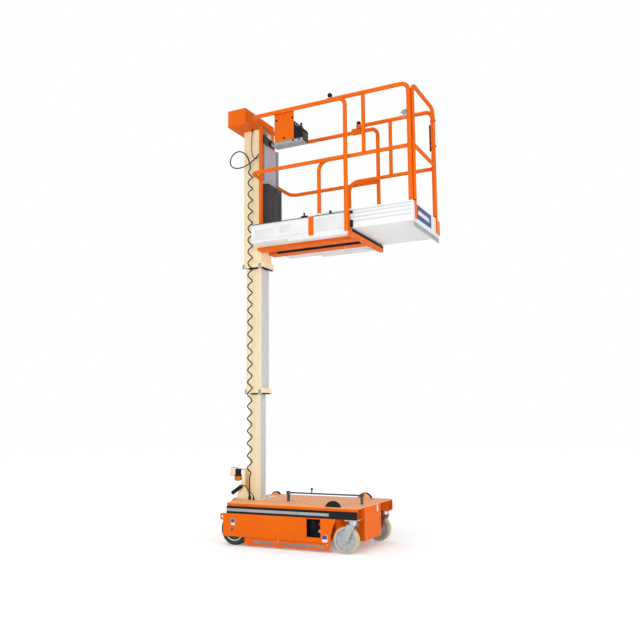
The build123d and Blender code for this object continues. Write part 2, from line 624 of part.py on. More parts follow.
# Cord: gland on the deck, a straight lead and the coil drawn as one round tube.
# Above the coil the lead makes one loop behind the mast and climbs to its connector.
CORD_X = 69.0
CORD_R = 5.2
COIL_R = 24.0
CORD_Y = -(foot_half_w + 12.0)
GLAND_R = 11.0
GLAND_H = 24.0
COIL_Z0 = DECK_TOP + 191.0
COIL_Z1 = 3235.0
gland = cyl(CORD_X, CORD_Y, DECK_TOP, DECK_TOP + GLAND_H, GLAND_R)
nodes["cord_lower"] = cyl(CORD_X, CORD_Y, DECK_TOP + GLAND_H, COIL_Z0, CORD_R)
nodes["curly_cord"] = cyl(CORD_X, CORD_Y, COIL_Z0, COIL_Z1, COIL_R)

CONNECTOR_X = 199.0
CONNECTOR_Z0 = RAIL_TOP_Z - 153.0
LOOP = [
    # x, y and z of the lead's route above the coil
    (69, -128, 3235), (69, -128, 3262), (58, -130, 3300), (40, -131, 3345), (5, -133, 3386),
    (-45, -135, 3408), (-95, -136, 3396), (-130, -137, 3358), (-139, -138, 3310), (-118, -139, 3272),
    (-75, -140, 3250), (-20, -141, 3246), (35, -142, 3256), (85, -142, 3278), (130, -141, 3310),
    (160, -138, 3338), (184, -133, 3366), (199, -130, 3398), (199, -130, 3430),
]
HEAD_LEAD = [
    # the thinner lead from the head down and up to the same connector
    (78, -112, 3593), (78, -112, 3555), (74, -113, 3505), (70, -114, 3450), (73, -115, 3393),
    (86, -116, 3343), (110, -117, 3314), (138, -117, 3316), (162, -116, 3346), (182, -113, 3380),
    (187, -112, 3408), (187, -112, 3430),
]
HEAD_LEAD_R = 3.0


def lead(points, r):
    """Cord along straight runs joined by the widest arcs that the runs allow."""
    route = [Vector(*p) for p in points]
    bends = []
    for a, b, c in zip(route, route[1:], route[2:]):
        turn = math.radians((b - a).get_angle(c - b))
        bends.append(0.45 * min((b - a).length, (c - b).length) / math.tan(turn / 2))
    path = FilletPolyline(*points, radius=bends)
    tube = sweep(Plane(origin=path @ 0, z_dir=path % 0) * Circle(r), path=path)
    share = tube.volume / (math.pi * r * r * path.length)
    print("lead radii", [round(b) for b in bends], "length", round(path.length), "volume share", round(share, 3))
    return tube


nodes["cord_upper"] = lead(LOOP, CORD_R)
nodes["head_lead"] = lead(HEAD_LEAD, HEAD_LEAD_R)
# Charge lead: its black handle is parked on the near gusset, and its lead goes over
# to a gland of its own in the deck.
HANDLE_Y = -(foot_half_w + 20.0)
HANDLE_R = 16.0
HANDLE_FROM = (-100.0, 389.0)
HANDLE_TO = (-10.0, 450.0)
PLUG_LEAD_R = 3.5
handle = rod((HANDLE_FROM[0], HANDLE_Y, HANDLE_FROM[1]), (HANDLE_TO[0], HANDLE_Y, HANDLE_TO[1]), HANDLE_R)
handle = chamfer(handle.edges().filter_by(GeomType.CIRCLE), 3)
handle += box(-38, -26, HANDLE_Y, -foot_half_w, 422, 446)
PLUG_LEAD = [
    # from the handle's upper end to the deck
    (-10, -136, 450), (5, -136, 460.2), (26, -138, 458), (46, -141, 444), (64, -144, 425),
    (83, -146, 408), (101, -147, 394), (114, -146, 380), (118, -146, 368), (118, -146, 356),
]
nodes["charge_lead"] = lead(PLUG_LEAD, PLUG_LEAD_R)
gland2 = cyl(118, -146, DECK_TOP, DECK_TOP + 14, 8.0)
nodes["cord_fittings"] = Compound([gland, gland2, handle])

# Platform: chequered floor and toe boards, folded from one sheet.
floor = box(PLAT_X0, PLAT_X1, -TOE_OUT_Y, TOE_OUT_Y, FLOOR_UNDER, FLOOR_Z)
for s, side in SIDES:
    floor += side_box(s, PLAT_X0, PLAT_X1, TOE_IN_Y, TOE_OUT_Y, FLOOR_UNDER, TOE_TOP)
    floor += side_box(s, PLAT_X0, CROSS_X - CROSS_L, TOE_IN_Y, TOE_OUT_Y, TOE_BOTTOM, FLOOR_UNDER)
    floor += side_box(
        s, CHANNEL_X0, CROSS_X - CROSS_L, CHANNEL_IN_Y, TOE_OUT_Y, CHANNEL_Z0, FLOOR_UNDER
    )
floor += box(PLAT_X0, PLAT_X0 + TOE_T, -TOE_OUT_Y, TOE_OUT_Y, FLOOR_UNDER, TOE_TOP)
nodes["platform_deck"] = floor

# Under-frame: two flat arms from the mast under the floor to a cross bar.
uhx, uhy = SECTIONS[2][1], SECTIONS[2][2]
under = box(CROSS_X - CROSS_L, CROSS_X, -TOE_OUT_Y, TOE_OUT_Y, FLOOR_UNDER - CROSS_H, FLOOR_UNDER)
for s, side in SIDES:
    under += side_box(
        s, MAST_X + uhx, CROSS_X - CROSS_L, ARM_IN_Y, ARM_OUT_Y, FLOOR_UNDER - ARM_H, FLOOR_UNDER
    )
nodes["under_frame"] = under

bracket_x1 = MAST_X + uhx + BRACKET_T
bracket = box(MAST_X + uhx, bracket_x1, -BRACKET_HALF_W, BRACKET_HALF_W, FLOOR_UNDER, BRACKET_TOP)
for s, side in SIDES:
    bracket += side_box(
        s, bracket_x1, PLAT_X0, BRACKET_HALF_W - BRACKET_FLANGE, BRACKET_HALF_W, FLOOR_UNDER, BRACKET_TOP
    )
nodes["mast_bracket"] = bracket

# Guard rails: one bent tube from the near front post over the top, across the rear
# and down to the far front post. An end post and a middle rail are welded in, and the
# far middle rail ends at the back plate. Straps tie the posts to the floor.
rails = []
rear_rail = bent(
    [
        (POST_X1, -RAIL_Y, TOE_BOTTOM), (POST_X1, -RAIL_Y, RAIL_TOP_Z), (RAIL_X0, -RAIL_Y, RAIL_TOP_Z),
        (RAIL_X0, RAIL_Y, RAIL_TOP_Z), (POST_X1, RAIL_Y, RAIL_TOP_Z), (POST_X1, RAIL_Y, TOE_BOTTOM),
    ],
    [RAIL_BEND, RAIL_BEND, RAIL_BEND, RAIL_BEND],
    TUBE_R,
)
rear_rail += rod((RAIL_X0, -END_POST_Y, TOE_TOP), (RAIL_X0, -END_POST_Y, RAIL_TOP_Z), TUBE_R)
for s, side in SIDES:
    y = s * RAIL_Y
    mid_end = END_POST_Y if side == "near" else BACK_FAR
    mid = bent(
        [(POST_X1, y, RAIL_MID_Z), (RAIL_X0, y, RAIL_MID_Z), (RAIL_X0, s * mid_end, RAIL_MID_Z)],
        [RAIL_BEND],
        TUBE_R - 1,
    )
    rear_rail += mid
    straps = [
        side_box(s, x - STRAP_W / 2, x + STRAP_W / 2, TOE_OUT_Y, TOE_OUT_Y + STRAP_T, TOE_BOTTOM, TOE_TOP)
        for x in (STRAP_X, POST_X1)
    ]
    rear_rail += straps[1]
    rails.append(straps[0])
sleeve = box(
    SLEEVE_X, SLEEVE_X + SLEEVE_L, RAIL_Y - TUBE_R - SLEEVE_T, RAIL_Y + TUBE_R + SLEEVE_T,
    RAIL_TOP_Z - TUBE_R - SLEEVE_T, RAIL_TOP_Z + 2 * TUBE_R - 1,
)
rear_rail += fillet(sleeve.edges().filter_by(Axis.X), 8)
rails.append(rear_rail)
nodes["platform_rails"] = Compound([piece for part in rails for piece in part.solids()])

back_z0 = RAIL_MID_Z - 24.0
nodes["back_plate"] = box(
    PLAT_X0, PLAT_X0 + BACK_T, -BACK_NEAR, BACK_FAR, back_z0, CONNECTOR_Z0
)
box_top = back_z0 - 7.0
doc = box(PLAT_X0, PLAT_X0 + DOC_T, -0.94 * BACK_NEAR, 0.45 * BACK_FAR, box_top - DOC_H, box_top)
doc = chamfer(doc.edges().group_by(Axis.Z)[-1].filter_by(Axis.Y)[-1:], 26)
connector = box(
    CONNECTOR_X - 22, CONNECTOR_X + 28, -BACK_NEAR, -BRACKET_HALF_W, CONNECTOR_Z0, CONNECTOR_Z0 + 70
)
nodes["document_box"] = Compound([doc, connector])

# Controls: plate hung on the near top rail, the control box and its tray beside it.
plate_y = RAIL_Y - TUBE_R
plate_z0 = RAIL_TOP_Z - CONTROL_H
nodes["control_plate"] = box(
    CONTROL_X0, CONTROL_X0 + CONTROL_PLATE_L, -plate_y, -plate_y + CONTROL_T, plate_z0, RAIL_TOP_Z
)
unit_x0 = CONTROL_X0 + CONTROL_PLATE_L - 30
unit_y0 = -plate_y + CONTROL_T
unit = profile_y(
    [
        # outline of the box from the side, from its lower rear corner round
        (unit_x0, plate_z0 - 19), (unit_x0 + UNIT_L, plate_z0 - 19), (unit_x0 + UNIT_L, plate_z0 + 75),
        (unit_x0 + 0.8 * UNIT_L, plate_z0 + 104), (unit_x0 + 0.41 * UNIT_L, plate_z0 + 98),
        (unit_x0 + 0.2 * UNIT_L, plate_z0 + 168), (unit_x0, plate_z0 + 182),
    ],
    unit_y0, unit_y0 + UNIT_W,
)
nodes["control_box"] = unit
nodes["control_tray"] = box(
    CONTROL_X0 - 30, unit_x0 + UNIT_L, unit_y0, unit_y0 + UNIT_W, plate_z0 - 22, plate_z0 - 19
)

# Knobs of the two locking plungers on the top rails; the far one has a sleeve that
# guides the extension's rail.
KNOB_BALL_R = 20.0
KNOBS = [
    # side, x, length of the plunger over the rail
    (-1, 967.0, 6.0),
    (1, 917.0, 44.0),
]
knobs = []
for s, x, rise in KNOBS:
    y = s * RAIL_Y
    z = RAIL_TOP_Z + TUBE_R + rise + KNOB_BALL_R
    knob = cyl(x, y, RAIL_TOP_Z, z, 0.45 * KNOB_BALL_R)
    knob = knob - rear_rail
    knobs.append(knob.solids().sort_by(Axis.Z)[-1] + Pos(x, y, z) * Sphere(KNOB_BALL_R))

# Black end caps at the front of the main toe boards, and the rubber strip that
# closes the gap over the cross bar.
STRIP_T = 5.0
caps = []
for s, side in SIDES:
    for z0, z1 in ((FLOOR_Z + 10, FLOOR_Z + 70), (TOE_TOP - 22, TOE_TOP)):
        caps.append(side_box(s, PLAT_X1, PLAT_X1 + 28, TOE_OUT_Y - 9, TOE_OUT_Y, z0, z1))
strip = box(PLAT_X1 + SEAT, CROSS_X, -TOE_OUT_Y, TOE_OUT_Y, FLOOR_UNDER, FLOOR_UNDER + STRIP_T)
caps += strip.solids()
nodes["rail_caps"] = Compound(caps + [k.solids()[0] for k in knobs])

# Extension deck: floor plate with side boards folded in at the top to a flange,
# on which the posts stand, and a deeper board across the end.
ext = box(EXT_X0, EXT_X1, -EXT_OUT_Y, EXT_OUT_Y, EXT_FLOOR_Z0, EXT_FLOOR_Z0 + EXT_FLOOR_T)
for s, side in SIDES:
    ext += side_box(s, EXT_X0, EXT_X1, EXT_OUT_Y - EXT_TOE_T, EXT_OUT_Y, EXT_FLOOR_Z0, EXT_TOE_TOP)
    ext += side_box(
        s, EXT_X0, EXT_X1, EXT_OUT_Y - 2 * TUBE_R, EXT_OUT_Y, EXT_TOE_TOP - EXT_TOE_T, EXT_TOE_TOP
    )
ext += box(EXT_X1 - EXT_TOE_T, EXT_X1, -EXT_OUT_Y, EXT_OUT_Y, END_BOARD_Z0, END_BOARD_TOP)
nodes["extension_deck"] = ext
slides = []
for s, side in SIDES:
    for x0 in SLIDES_X:
        slides.append(side_box(
            s, x0, x0 + SLIDE_LEN, EXT_OUT_Y - 59 - SLIDE_W, EXT_OUT_Y - 59, FLOOR_Z + SEAT, EXT_FLOOR_Z0
        ))
nodes["extension_slides"] = Compound(slides)

ext_rails = []
for s, side in SIDES:
    y = s * EXT_RAIL_Y
    top = bent(
        [(EXT_TOP_X0, y, EXT_TOP_Z), (EXT_POST_X, y, EXT_TOP_Z), (EXT_POST_X, y, EXT_TOE_TOP)],
        [RAIL_BEND],
        TUBE_R,
    )
    hoop = bent(
        [(EXT_HOOP_X, y, EXT_TOE_TOP), (EXT_HOOP_X, y, EXT_MID_Z), (EXT_POST_X, y, EXT_MID_Z)],
        [HOOP_BEND],
        TUBE_R - 1,
    )
    strut = rod((EXT_STRUT_X, y, EXT_TOE_TOP), (EXT_STRUT_X, y, EXT_TOP_Z), TUBE_R - 1)
    ext_rails.append(fuse(top, hoop, strut))
LOOP_R = 7.0
loop_x = EXT_X1 - LOOP_R
loop = bent(
    [
        (loop_x, EXT_OUT_Y, EXT_FLOOR_Z0 + 30), (loop_x, EXT_OUT_Y + 40, EXT_FLOOR_Z0 + 30),
        (loop_x, EXT_OUT_Y + 40, EXT_TOE_TOP + 10), (loop_x, EXT_OUT_Y, EXT_TOE_TOP - 20),
    ],
    [20.0, 20.0],
    LOOP_R,
)
loop = loop & side_box(1, loop_x - 10, loop_x + 10, EXT_OUT_Y, EXT_OUT_Y + 60, EXT_FLOOR_Z0, EXT_TOP_Z)

# Gate latch: a plate on the near end post with a black housing, and a buffer strip
# on the far one.
latch_z = EXT_MID_Z + 0.49 * (EXT_TOP_Z - EXT_MID_Z)
latch_y = EXT_RAIL_Y + TUBE_R
latch = side_box(
    -1, EXT_POST_X - 65, EXT_POST_X + TUBE_R, latch_y, latch_y + 6, latch_z - 50, latch_z + 50
)
latch_cap = side_box(
    -1, EXT_POST_X - 62, EXT_POST_X - TUBE_R - 4, latch_y - 20, latch_y + 6, latch_z + 50, latch_z + 68
)
latch += side_box(
    -1, EXT_POST_X - 65, EXT_POST_X - TUBE_R - 4, latch_y - 20, latch_y, latch_z - 50, latch_z + 50
)
buffer = box(
    EXT_POST_X - TUBE_R - 22, EXT_POST_X - 10, EXT_RAIL_Y - 11, EXT_RAIL_Y + 11, latch_z - 91, latch_z + 139
)
buffer -= cyl(EXT_POST_X, EXT_RAIL_Y, latch_z - 91, latch_z + 139, TUBE_R)
nodes["gate_latch"] = Compound([latch_cap, buffer.solids().sort_by(Axis.X)[0]])
nodes["extension_rails"] = Compound([ext_rails[0], ext_rails[1], loop.solids()[0], latch])

stubs = []
for s, side in SIDES:
    y = s * GATE_HALF_W
    stub = cyl(GATE_X, y, GATE_Z0 - STUB_GAP - STUB_H, GATE_Z0 - STUB_GAP, GATE_R)
    stub -= box(
        GATE_X - GATE_R, EXT_X1, y - GATE_R, y + GATE_R, GATE_Z0 - STUB_GAP - STUB_H, END_BOARD_TOP
    )
    stubs.append(stub)
stubs[1] += cyl(GATE_X, GATE_HALF_W, GATE_Z0 - STUB_GAP, GATE_Z0 + GATE_PIN_H, GATE_PIN_R)
for z in (HINGE_Z, HINGE_Z + HINGE_STEP):
    lug = cyl(GATE_X, GATE_HALF_W, z, z + HINGE_T, GATE_R + HINGE_WALL)
    lug += rod(
        (GATE_X, GATE_HALF_W, z + HINGE_T / 2), (EXT_POST_X, EXT_RAIL_Y, z + HINGE_T / 2), HINGE_T / 2
    )
    lug -= cyl(GATE_X, GATE_HALF_W, z, z + HINGE_T, GATE_R + RUN_FIT)
    lug -= cyl(EXT_POST_X, EXT_RAIL_Y, z, z + HINGE_T, TUBE_R)
    stubs.append(lug)
nodes["gate_stubs"] = Compound([piece for stub in stubs for piece in stub.solids()])

gate = bent(
    [
        (GATE_X, -GATE_HALF_W, GATE_Z0), (GATE_X, -GATE_HALF_W, GATE_TOP_Z),
        (GATE_X, GATE_HALF_W, GATE_TOP_Z), (GATE_X, GATE_HALF_W, GATE_Z0),
    ],
    [RAIL_BEND, RAIL_BEND],
    GATE_R,
)
gate += rod((GATE_X, -GATE_HALF_W, GATE_MID_Z), (GATE_X, GATE_HALF_W, GATE_MID_Z), GATE_R - 1)
gate -= cyl(GATE_X, GATE_HALF_W, GATE_Z0, GATE_Z0 + GATE_PIN_H + 2, GATE_PIN_R + RUN_FIT)
nodes["gate"] = gate

os.makedirs("parts", exist_ok=True)
for name, shape in nodes.items():
    export_step(Pos(-X_MID, 0, 0) * shape, "parts/" + name + ".step")
    bb = shape.bounding_box()
    print(name, len(shape.solids()), "solid(s)", [round(v) for v in (*bb.min, *bb.max)])
print(len(nodes), "nodes", "centre", X_MID)
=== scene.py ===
import math

import bmesh
import bpy
from mathutils import Matrix, Vector


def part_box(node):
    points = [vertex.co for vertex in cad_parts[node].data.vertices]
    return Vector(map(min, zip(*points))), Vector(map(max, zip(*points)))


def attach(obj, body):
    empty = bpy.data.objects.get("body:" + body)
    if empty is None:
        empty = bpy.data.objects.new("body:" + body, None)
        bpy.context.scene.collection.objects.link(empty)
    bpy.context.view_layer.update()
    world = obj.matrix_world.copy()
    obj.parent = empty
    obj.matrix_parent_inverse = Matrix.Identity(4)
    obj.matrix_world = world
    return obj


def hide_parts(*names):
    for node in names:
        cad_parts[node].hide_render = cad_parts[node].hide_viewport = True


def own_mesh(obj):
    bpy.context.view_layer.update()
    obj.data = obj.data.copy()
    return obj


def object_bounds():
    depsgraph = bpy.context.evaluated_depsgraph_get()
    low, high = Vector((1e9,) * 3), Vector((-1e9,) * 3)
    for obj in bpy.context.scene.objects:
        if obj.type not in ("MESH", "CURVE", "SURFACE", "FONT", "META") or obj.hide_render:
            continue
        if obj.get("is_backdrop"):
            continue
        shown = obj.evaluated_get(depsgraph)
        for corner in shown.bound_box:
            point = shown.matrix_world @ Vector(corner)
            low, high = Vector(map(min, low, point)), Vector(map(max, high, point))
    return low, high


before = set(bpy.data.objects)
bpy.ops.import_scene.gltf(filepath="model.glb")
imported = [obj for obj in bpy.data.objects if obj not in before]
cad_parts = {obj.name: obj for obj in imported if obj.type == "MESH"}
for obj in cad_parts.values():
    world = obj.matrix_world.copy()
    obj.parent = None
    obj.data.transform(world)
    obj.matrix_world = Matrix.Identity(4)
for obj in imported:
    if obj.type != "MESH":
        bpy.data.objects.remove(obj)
cad_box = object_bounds()

# Camera: stands low in front of the near side, about 5.5 m off, and looks up at the
# platform. Its place and lens were fitted to the photograph, 640 pixels square.
IMAGE = 640.0
FOCAL = 725.484
CENTRE_U = 318.714
CENTRE_V = 334.312
EYE = Vector((2.628752, -5.454055, 1.009797))
YAW = 0.460385
PITCH = 0.116443
ROLL = -0.009102
ahead = Vector((-math.sin(YAW) * math.cos(PITCH), math.cos(YAW) * math.cos(PITCH), math.sin(PITCH)))
level = Vector((math.cos(YAW), math.sin(YAW), 0.0))
upward = level.cross(ahead)
right = math.cos(ROLL) * level + math.sin(ROLL) * upward
over = -math.sin(ROLL) * level + math.cos(ROLL) * upward
lens = bpy.data.cameras.new("camera")
lens.sensor_fit = "HORIZONTAL"
lens.sensor_width = 36.0
lens.lens = FOCAL / IMAGE * 36.0
lens.shift_x = (IMAGE / 2 - CENTRE_U) / IMAGE
lens.shift_y = (CENTRE_V - IMAGE / 2) / IMAGE
lens.clip_end = 200.0
camera = bpy.data.objects.new("camera", lens)
camera.matrix_world = Matrix.Translation(EYE) @ Matrix((right, over, -ahead)).transposed().to_4x4()
bpy.context.collection.objects.link(camera)
bpy.context.scene.camera = camera

# Studio: a white floor and a white world behind it, a wide soft lamp toward the near
# side, a low one from the extension end, one overhead and a weak fill from the back.
# Only the camera and clear parts see the world at full white, and only the camera sees
# the floor's own glow.
WHITE = (1.0, 1.0, 1.0)
FLOOR_HALF = 40


def feed(tree, node, feeds):
    """Sets inputs of a node, each to a plain value or to the output of another node."""
    for key, value in feeds.items():
        if isinstance(value, bpy.types.NodeSocket):
            tree.links.new(value, node.inputs[key])
        elif node.inputs[key].type == "RGBA":
            node.inputs[key].default_value = (*value, 1.0)
        else:
            node.inputs[key].default_value = value


def layer(tree, kind, feeds, out=0, **settings):
    """Adds one node to the make-up of a finish, and gives the output wanted of it."""
    node = tree.nodes.new("ShaderNode" + kind)
    for key, value in settings.items():
        setattr(node, key, value)
    feed(tree, node, feeds)
    return node.outputs[out]


bpy.context.scene.view_settings.view_transform = "Standard"
world = bpy.data.worlds.new("studio")
bpy.context.scene.world = world
world.use_nodes = True
tree = world.node_tree
tree.nodes.clear()
seen = tree.nodes.new("ShaderNodeLightPath").outputs
either = layer(tree, "Math", {0: seen["Is Camera Ray"], 1: seen["Is Transmission Ray"]}, operation="MAXIMUM")
dim = layer(tree, "Background", {"Color": (0.94, 0.97, 1.0), "Strength": 0.60})
plain = layer(tree, "Background", {"Color": WHITE, "Strength": 1.0})
pick = layer(tree, "MixShader", {0: either, 1: dim, 2: plain})
feed(tree, tree.nodes.new("ShaderNodeOutputWorld"), {"Surface": pick})

floor_mesh = bpy.data.meshes.new("floor")
floor_corners = [(FLOOR_HALF * x, FLOOR_HALF * y, 0) for x, y in ((-1, -1), (1, -1), (1, 1), (-1, 1))]
floor_mesh.from_pydata(floor_corners, [], [(0, 1, 2, 3)])
floor = bpy.data.objects.new("floor", floor_mesh)
bpy.context.collection.objects.link(floor)
floor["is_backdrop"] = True
white = bpy.data.materials.new("studio floor")
white.use_nodes = True
tree = white.node_tree
tree.nodes.clear()
place = layer(tree, "TexCoord", {}, "Object")
far = layer(tree, "VectorMath", {0: place}, "Value", operation="LENGTH")
# The floor's glow is painted light: weaker near the machine so the shade under it shows, and strong far off
# so the floor reads white.
farther_out = {"Value": far, "From Min": 1.2, "From Max": 4.5, "To Min": 0.20, "To Max": 0.46}
whiter = layer(tree, "MapRange", farther_out)
diffuse = layer(tree, "BsdfDiffuse", {"Color": (0.94, 0.94, 0.94)})
glow = layer(tree, "Emission", {"Color": WHITE, "Strength": whiter})
glowing = layer(tree, "AddShader", {0: diffuse, 1: glow})
seen = layer(tree, "LightPath", {}, "Is Camera Ray")
pick = layer(tree, "MixShader", {0: seen, 1: diffuse, 2: glowing})
feed(tree, tree.nodes.new("ShaderNodeOutputMaterial"), {"Surface": pick})
floor_mesh.materials.append(white)

LAMPS = [
    # name, place, size, watts, aims at
    ("lamp_near", (0.4, -6.6, 3.0), 3.4, 150.0, (0.0, 0.0, 1.5)),
    ("lamp_end", (4.3, -1.2, 1.0), 2.4, 80.0, (0.1, 0.0, 0.5)),
    ("lamp_top", (-0.3, -0.6, 7.4), 3.0, 88.0, (0.0, 0.0, 1.0)),
    ("lamp_back", (-3.4, 2.6, 4.4), 3.0, 45.0, (0.0, 0.0, 1.8)),
]
for name, place, size, watts, aim in LAMPS:
    light = bpy.data.lights.new(name, "AREA")
    light.energy = watts
    light.size = size
    lamp = bpy.data.objects.new(name, light)
    lamp.location = place
    lamp.rotation_euler = (Vector(aim) - Vector(place)).to_track_quat("-Z", "Y").to_euler()
    bpy.context.collection.objects.link(lamp)

# Leads: black rubber-sheathed cable. The control lead rises from a gland in the deck,
# runs as a long coil beside the mast and loops over to the connector on the platform.
# A thinner lead drops from the head, and a charging lead lies by the mast's foot.
LEAD_D = 0.0104
COIL_OUTER = 0.048
COIL_TURNS = 26
COIL_STEPS = 16
COIL_LEAD_IN = 0.6
COIL_START = -0.6
COIL_AT = (-0.6775, -0.128)
LOWER_LEAD = [(*COIL_AT, z) for z in (0.366, 0.44, 0.533)]
COIL_ROUTE = [(*COIL_AT, z) for z in (0.533, 1.9, 3.235)]
UPPER_LEAD = [
    (-0.6775, -0.128, 3.235), (-0.6775, -0.128, 3.262), (-0.6885, -0.130, 3.300), (-0.7065, -0.131, 3.345),
    (-0.7415, -0.133, 3.386), (-0.7915, -0.135, 3.408), (-0.8415, -0.136, 3.396), (-0.8765, -0.137, 3.358),
    (-0.8855, -0.138, 3.310), (-0.8645, -0.139, 3.272), (-0.8215, -0.140, 3.250), (-0.7665, -0.141, 3.246),
    (-0.7115, -0.142, 3.256), (-0.6615, -0.142, 3.278), (-0.6165, -0.141, 3.310), (-0.5865, -0.138, 3.338),
    (-0.5625, -0.133, 3.366), (-0.5475, -0.130, 3.398), (-0.5475, -0.130, 3.430),
]
HEAD_LEAD_D = 0.006
HEAD_LEAD = [
    (-0.6685, -0.112, 3.593), (-0.6685, -0.112, 3.555), (-0.6725, -0.113, 3.505), (-0.6765, -0.114, 3.450),
    (-0.6735, -0.115, 3.393), (-0.6605, -0.116, 3.343), (-0.6365, -0.117, 3.314), (-0.6085, -0.117, 3.316),
    (-0.5845, -0.116, 3.346), (-0.5645, -0.113, 3.380), (-0.5595, -0.112, 3.408), (-0.5595, -0.112, 3.430),
]
PLUG_LEAD_D = 0.007
PLUG_LEAD = [
    (-0.7565, -0.136, 0.450), (-0.7415, -0.136, 0.4602), (-0.7205, -0.138, 0.458), (-0.7005, -0.141, 0.444),
    (-0.6825, -0.144, 0.425), (-0.6635, -0.146, 0.408), (-0.6455, -0.147, 0.394), (-0.6325, -0.146, 0.380),
    (-0.6285, -0.146, 0.368), (-0.6285, -0.146, 0.356),
]


def opened(material):
    """A finish's nodes, its shader and the coordinates that patterns are laid by."""
    material.use_nodes = True
    tree = material.node_tree
    return tree, tree.nodes["Principled BSDF"], tree.nodes.new("ShaderNodeTexCoord").outputs


def toned(tree, amount, *stops):
    """Colour that follows an amount between two stops, each a place and a tone."""
    tone = layer(tree, "ValToRGB", {"Fac": amount})
    for stop, (position, colour) in zip(tone.node.color_ramp.elements, stops):
        stop.position = position
        stop.color = (*colour, 1.0)
    return tone


def sheath(name, colour, rough):
    """Cable sheath: dark rubber with a soft sheen, faint chalky patches and fine pits."""
    material = bpy.data.materials.new(name)
    tree, shader, place = opened(material)
    dust = layer(tree, "TexNoise", {"Vector": place["Object"], "Scale": 28.0, "Detail": 5.0})
    pits = layer(tree, "TexNoise", {"Vector": place["Object"], "Scale": 900.0})
    chalky = [2.2 * c + 0.006 for c in colour]
    feed(tree, shader, {
        "Base Color": toned(tree, dust, (0.35, colour), (0.85, chalky)),
        "Roughness": layer(tree, "MapRange", {"Value": dust, "To Min": rough - 0.08, "To Max": rough + 0.12}),
        "Normal": layer(tree, "Bump", {"Height": pits, "Strength": 0.25, "Distance": 0.0003}),
        "Specular IOR Level": 0.15,
    })
    return material


def spline(name, points, diameter):
    """One open cable on a smooth spline; a diameter of 0 gives its bare line."""
    curve = bpy.data.curves.new(name, "CURVE")
    curve.dimensions = "3D"
    line = curve.splines.new("NURBS")
    line.points.add(len(points) - 1)
    for knot, point in zip(line.points, points):
        knot.co = (*point, 1.0)
    line.order_u = 3
    line.use_endpoint_u = True
    line.resolution_u = 10
    curve.bevel_depth = diameter / 2
    curve.bevel_resolution = 5
    curve.use_fill_caps = True
    cable = bpy.data.objects.new(name, curve)
    bpy.context.collection.objects.link(cable)
    return cable


def baked(curve):
    """Mesh of a curve as it stands; the curve itself goes."""
    bpy.context.view_layer.update()
    mesh = bpy.data.meshes.new_from_object(curve.evaluated_get(bpy.context.evaluated_depsgraph_get()))
    bpy.data.objects.remove(curve)
    return mesh


def walked(points):
    """Vertices along the bare line of a route."""
    mesh = baked(spline("route", points, 0.0))
    line = [v.co.copy() for v in mesh.vertices]
    bpy.data.meshes.remove(mesh)
    return line


def along(line, share):
    """Point at a share of a walked line's length."""
    steps = [(b - a).length for a, b in zip(line, line[1:])]
    left = share * sum(steps)
    for a, b, step in zip(line, line[1:], steps):
        if left <= step:
            return a.lerp(b, left / step)
        left -= step
    return line[-1]


def run_length(line):
    """Length of a walked line."""
    return sum((b - a).length for a, b in zip(line, line[1:]))


cable_black = sheath("black cable sheath", (0.009, 0.009, 0.010), 0.55)
LEADS = [
    # piece, node, body, points, diameter, stiffness, lay
    ("control_lead_lower", "cord_lower", "base", LOWER_LEAD, LEAD_D, "medium", "taut"),
    ("control_lead_upper", "cord_upper", "platform", UPPER_LEAD, LEAD_D, "medium", "hanging"),
    ("head_cable", "head_lead", "platform", HEAD_LEAD, HEAD_LEAD_D, "limp", "hanging"),
    ("plug_lead", "charge_lead", "base", PLUG_LEAD, PLUG_LEAD_D, "limp", "loose"),
]
for name, node, body, points, diameter, stiffness, lay in LEADS:
    cable = spline(name, points, diameter)
    cable.data.materials.append(cable_black)
    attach(cable, body)
    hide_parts(node)
    run_length(walked(points))

line = walked(COIL_ROUTE)
coil_r = (COIL_OUTER - LEAD_D) / 2
helix = []
for i in range(COIL_TURNS * COIL_STEPS + 1):
    share = i / (COIL_TURNS * COIL_STEPS)
    ends = min(1.0, share * COIL_TURNS / COIL_LEAD_IN, (1.0 - share) * COIL_TURNS / COIL_LEAD_IN)
    angle = math.tau * i / COIL_STEPS + COIL_START
    reach = coil_r * math.sin(0.5 * math.pi * ends)
    helix.append(along(line, share) + Vector((reach * math.cos(angle), reach * math.sin(angle), 0.0)))
wound = spline("coil route", helix, LEAD_D)
wound.data.splines[0].resolution_u = 2
tube = baked(wound)
coil = bpy.data.objects.new("control_lead_coil", tube)
bpy.context.collection.objects.link(coil)
tube.materials.clear()
tube.materials.append(cable_black)
for face in tube.polygons:
    face.use_smooth = True
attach(coil, "base")
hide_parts("curly_cord")
wound_line = walked(helix)
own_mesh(coil)

# Side structure: folded sheet in orange powder coat, one rail and one panel a side. The
# coat is slightly uneven, has a fine orange-peel skin and is rubbed a little at edges.
# Each panel has round dimples over its captive nuts and two blank plates.
ORANGE = (0.86, 0.150, 0.009)
ORANGE_WORN = (0.50, 0.085, 0.008)
EDGE_ROUND = 0.0016
EDGE_RUB = 0.5


def agreed(tree, one, other):
    """How far two directions agree, as the length of one along the other."""
    return layer(tree, "VectorMath", {0: one, 1: other}, "Value", operation="DOT_PRODUCT")


def painted_over(tree, amount, below, colour, **settings):
    """A colour laid over what is below it, by an amount from 0 to 1."""
    return layer(tree, "Mix", {0: amount, 6: below, 7: colour}, 2, data_type="RGBA", **settings)


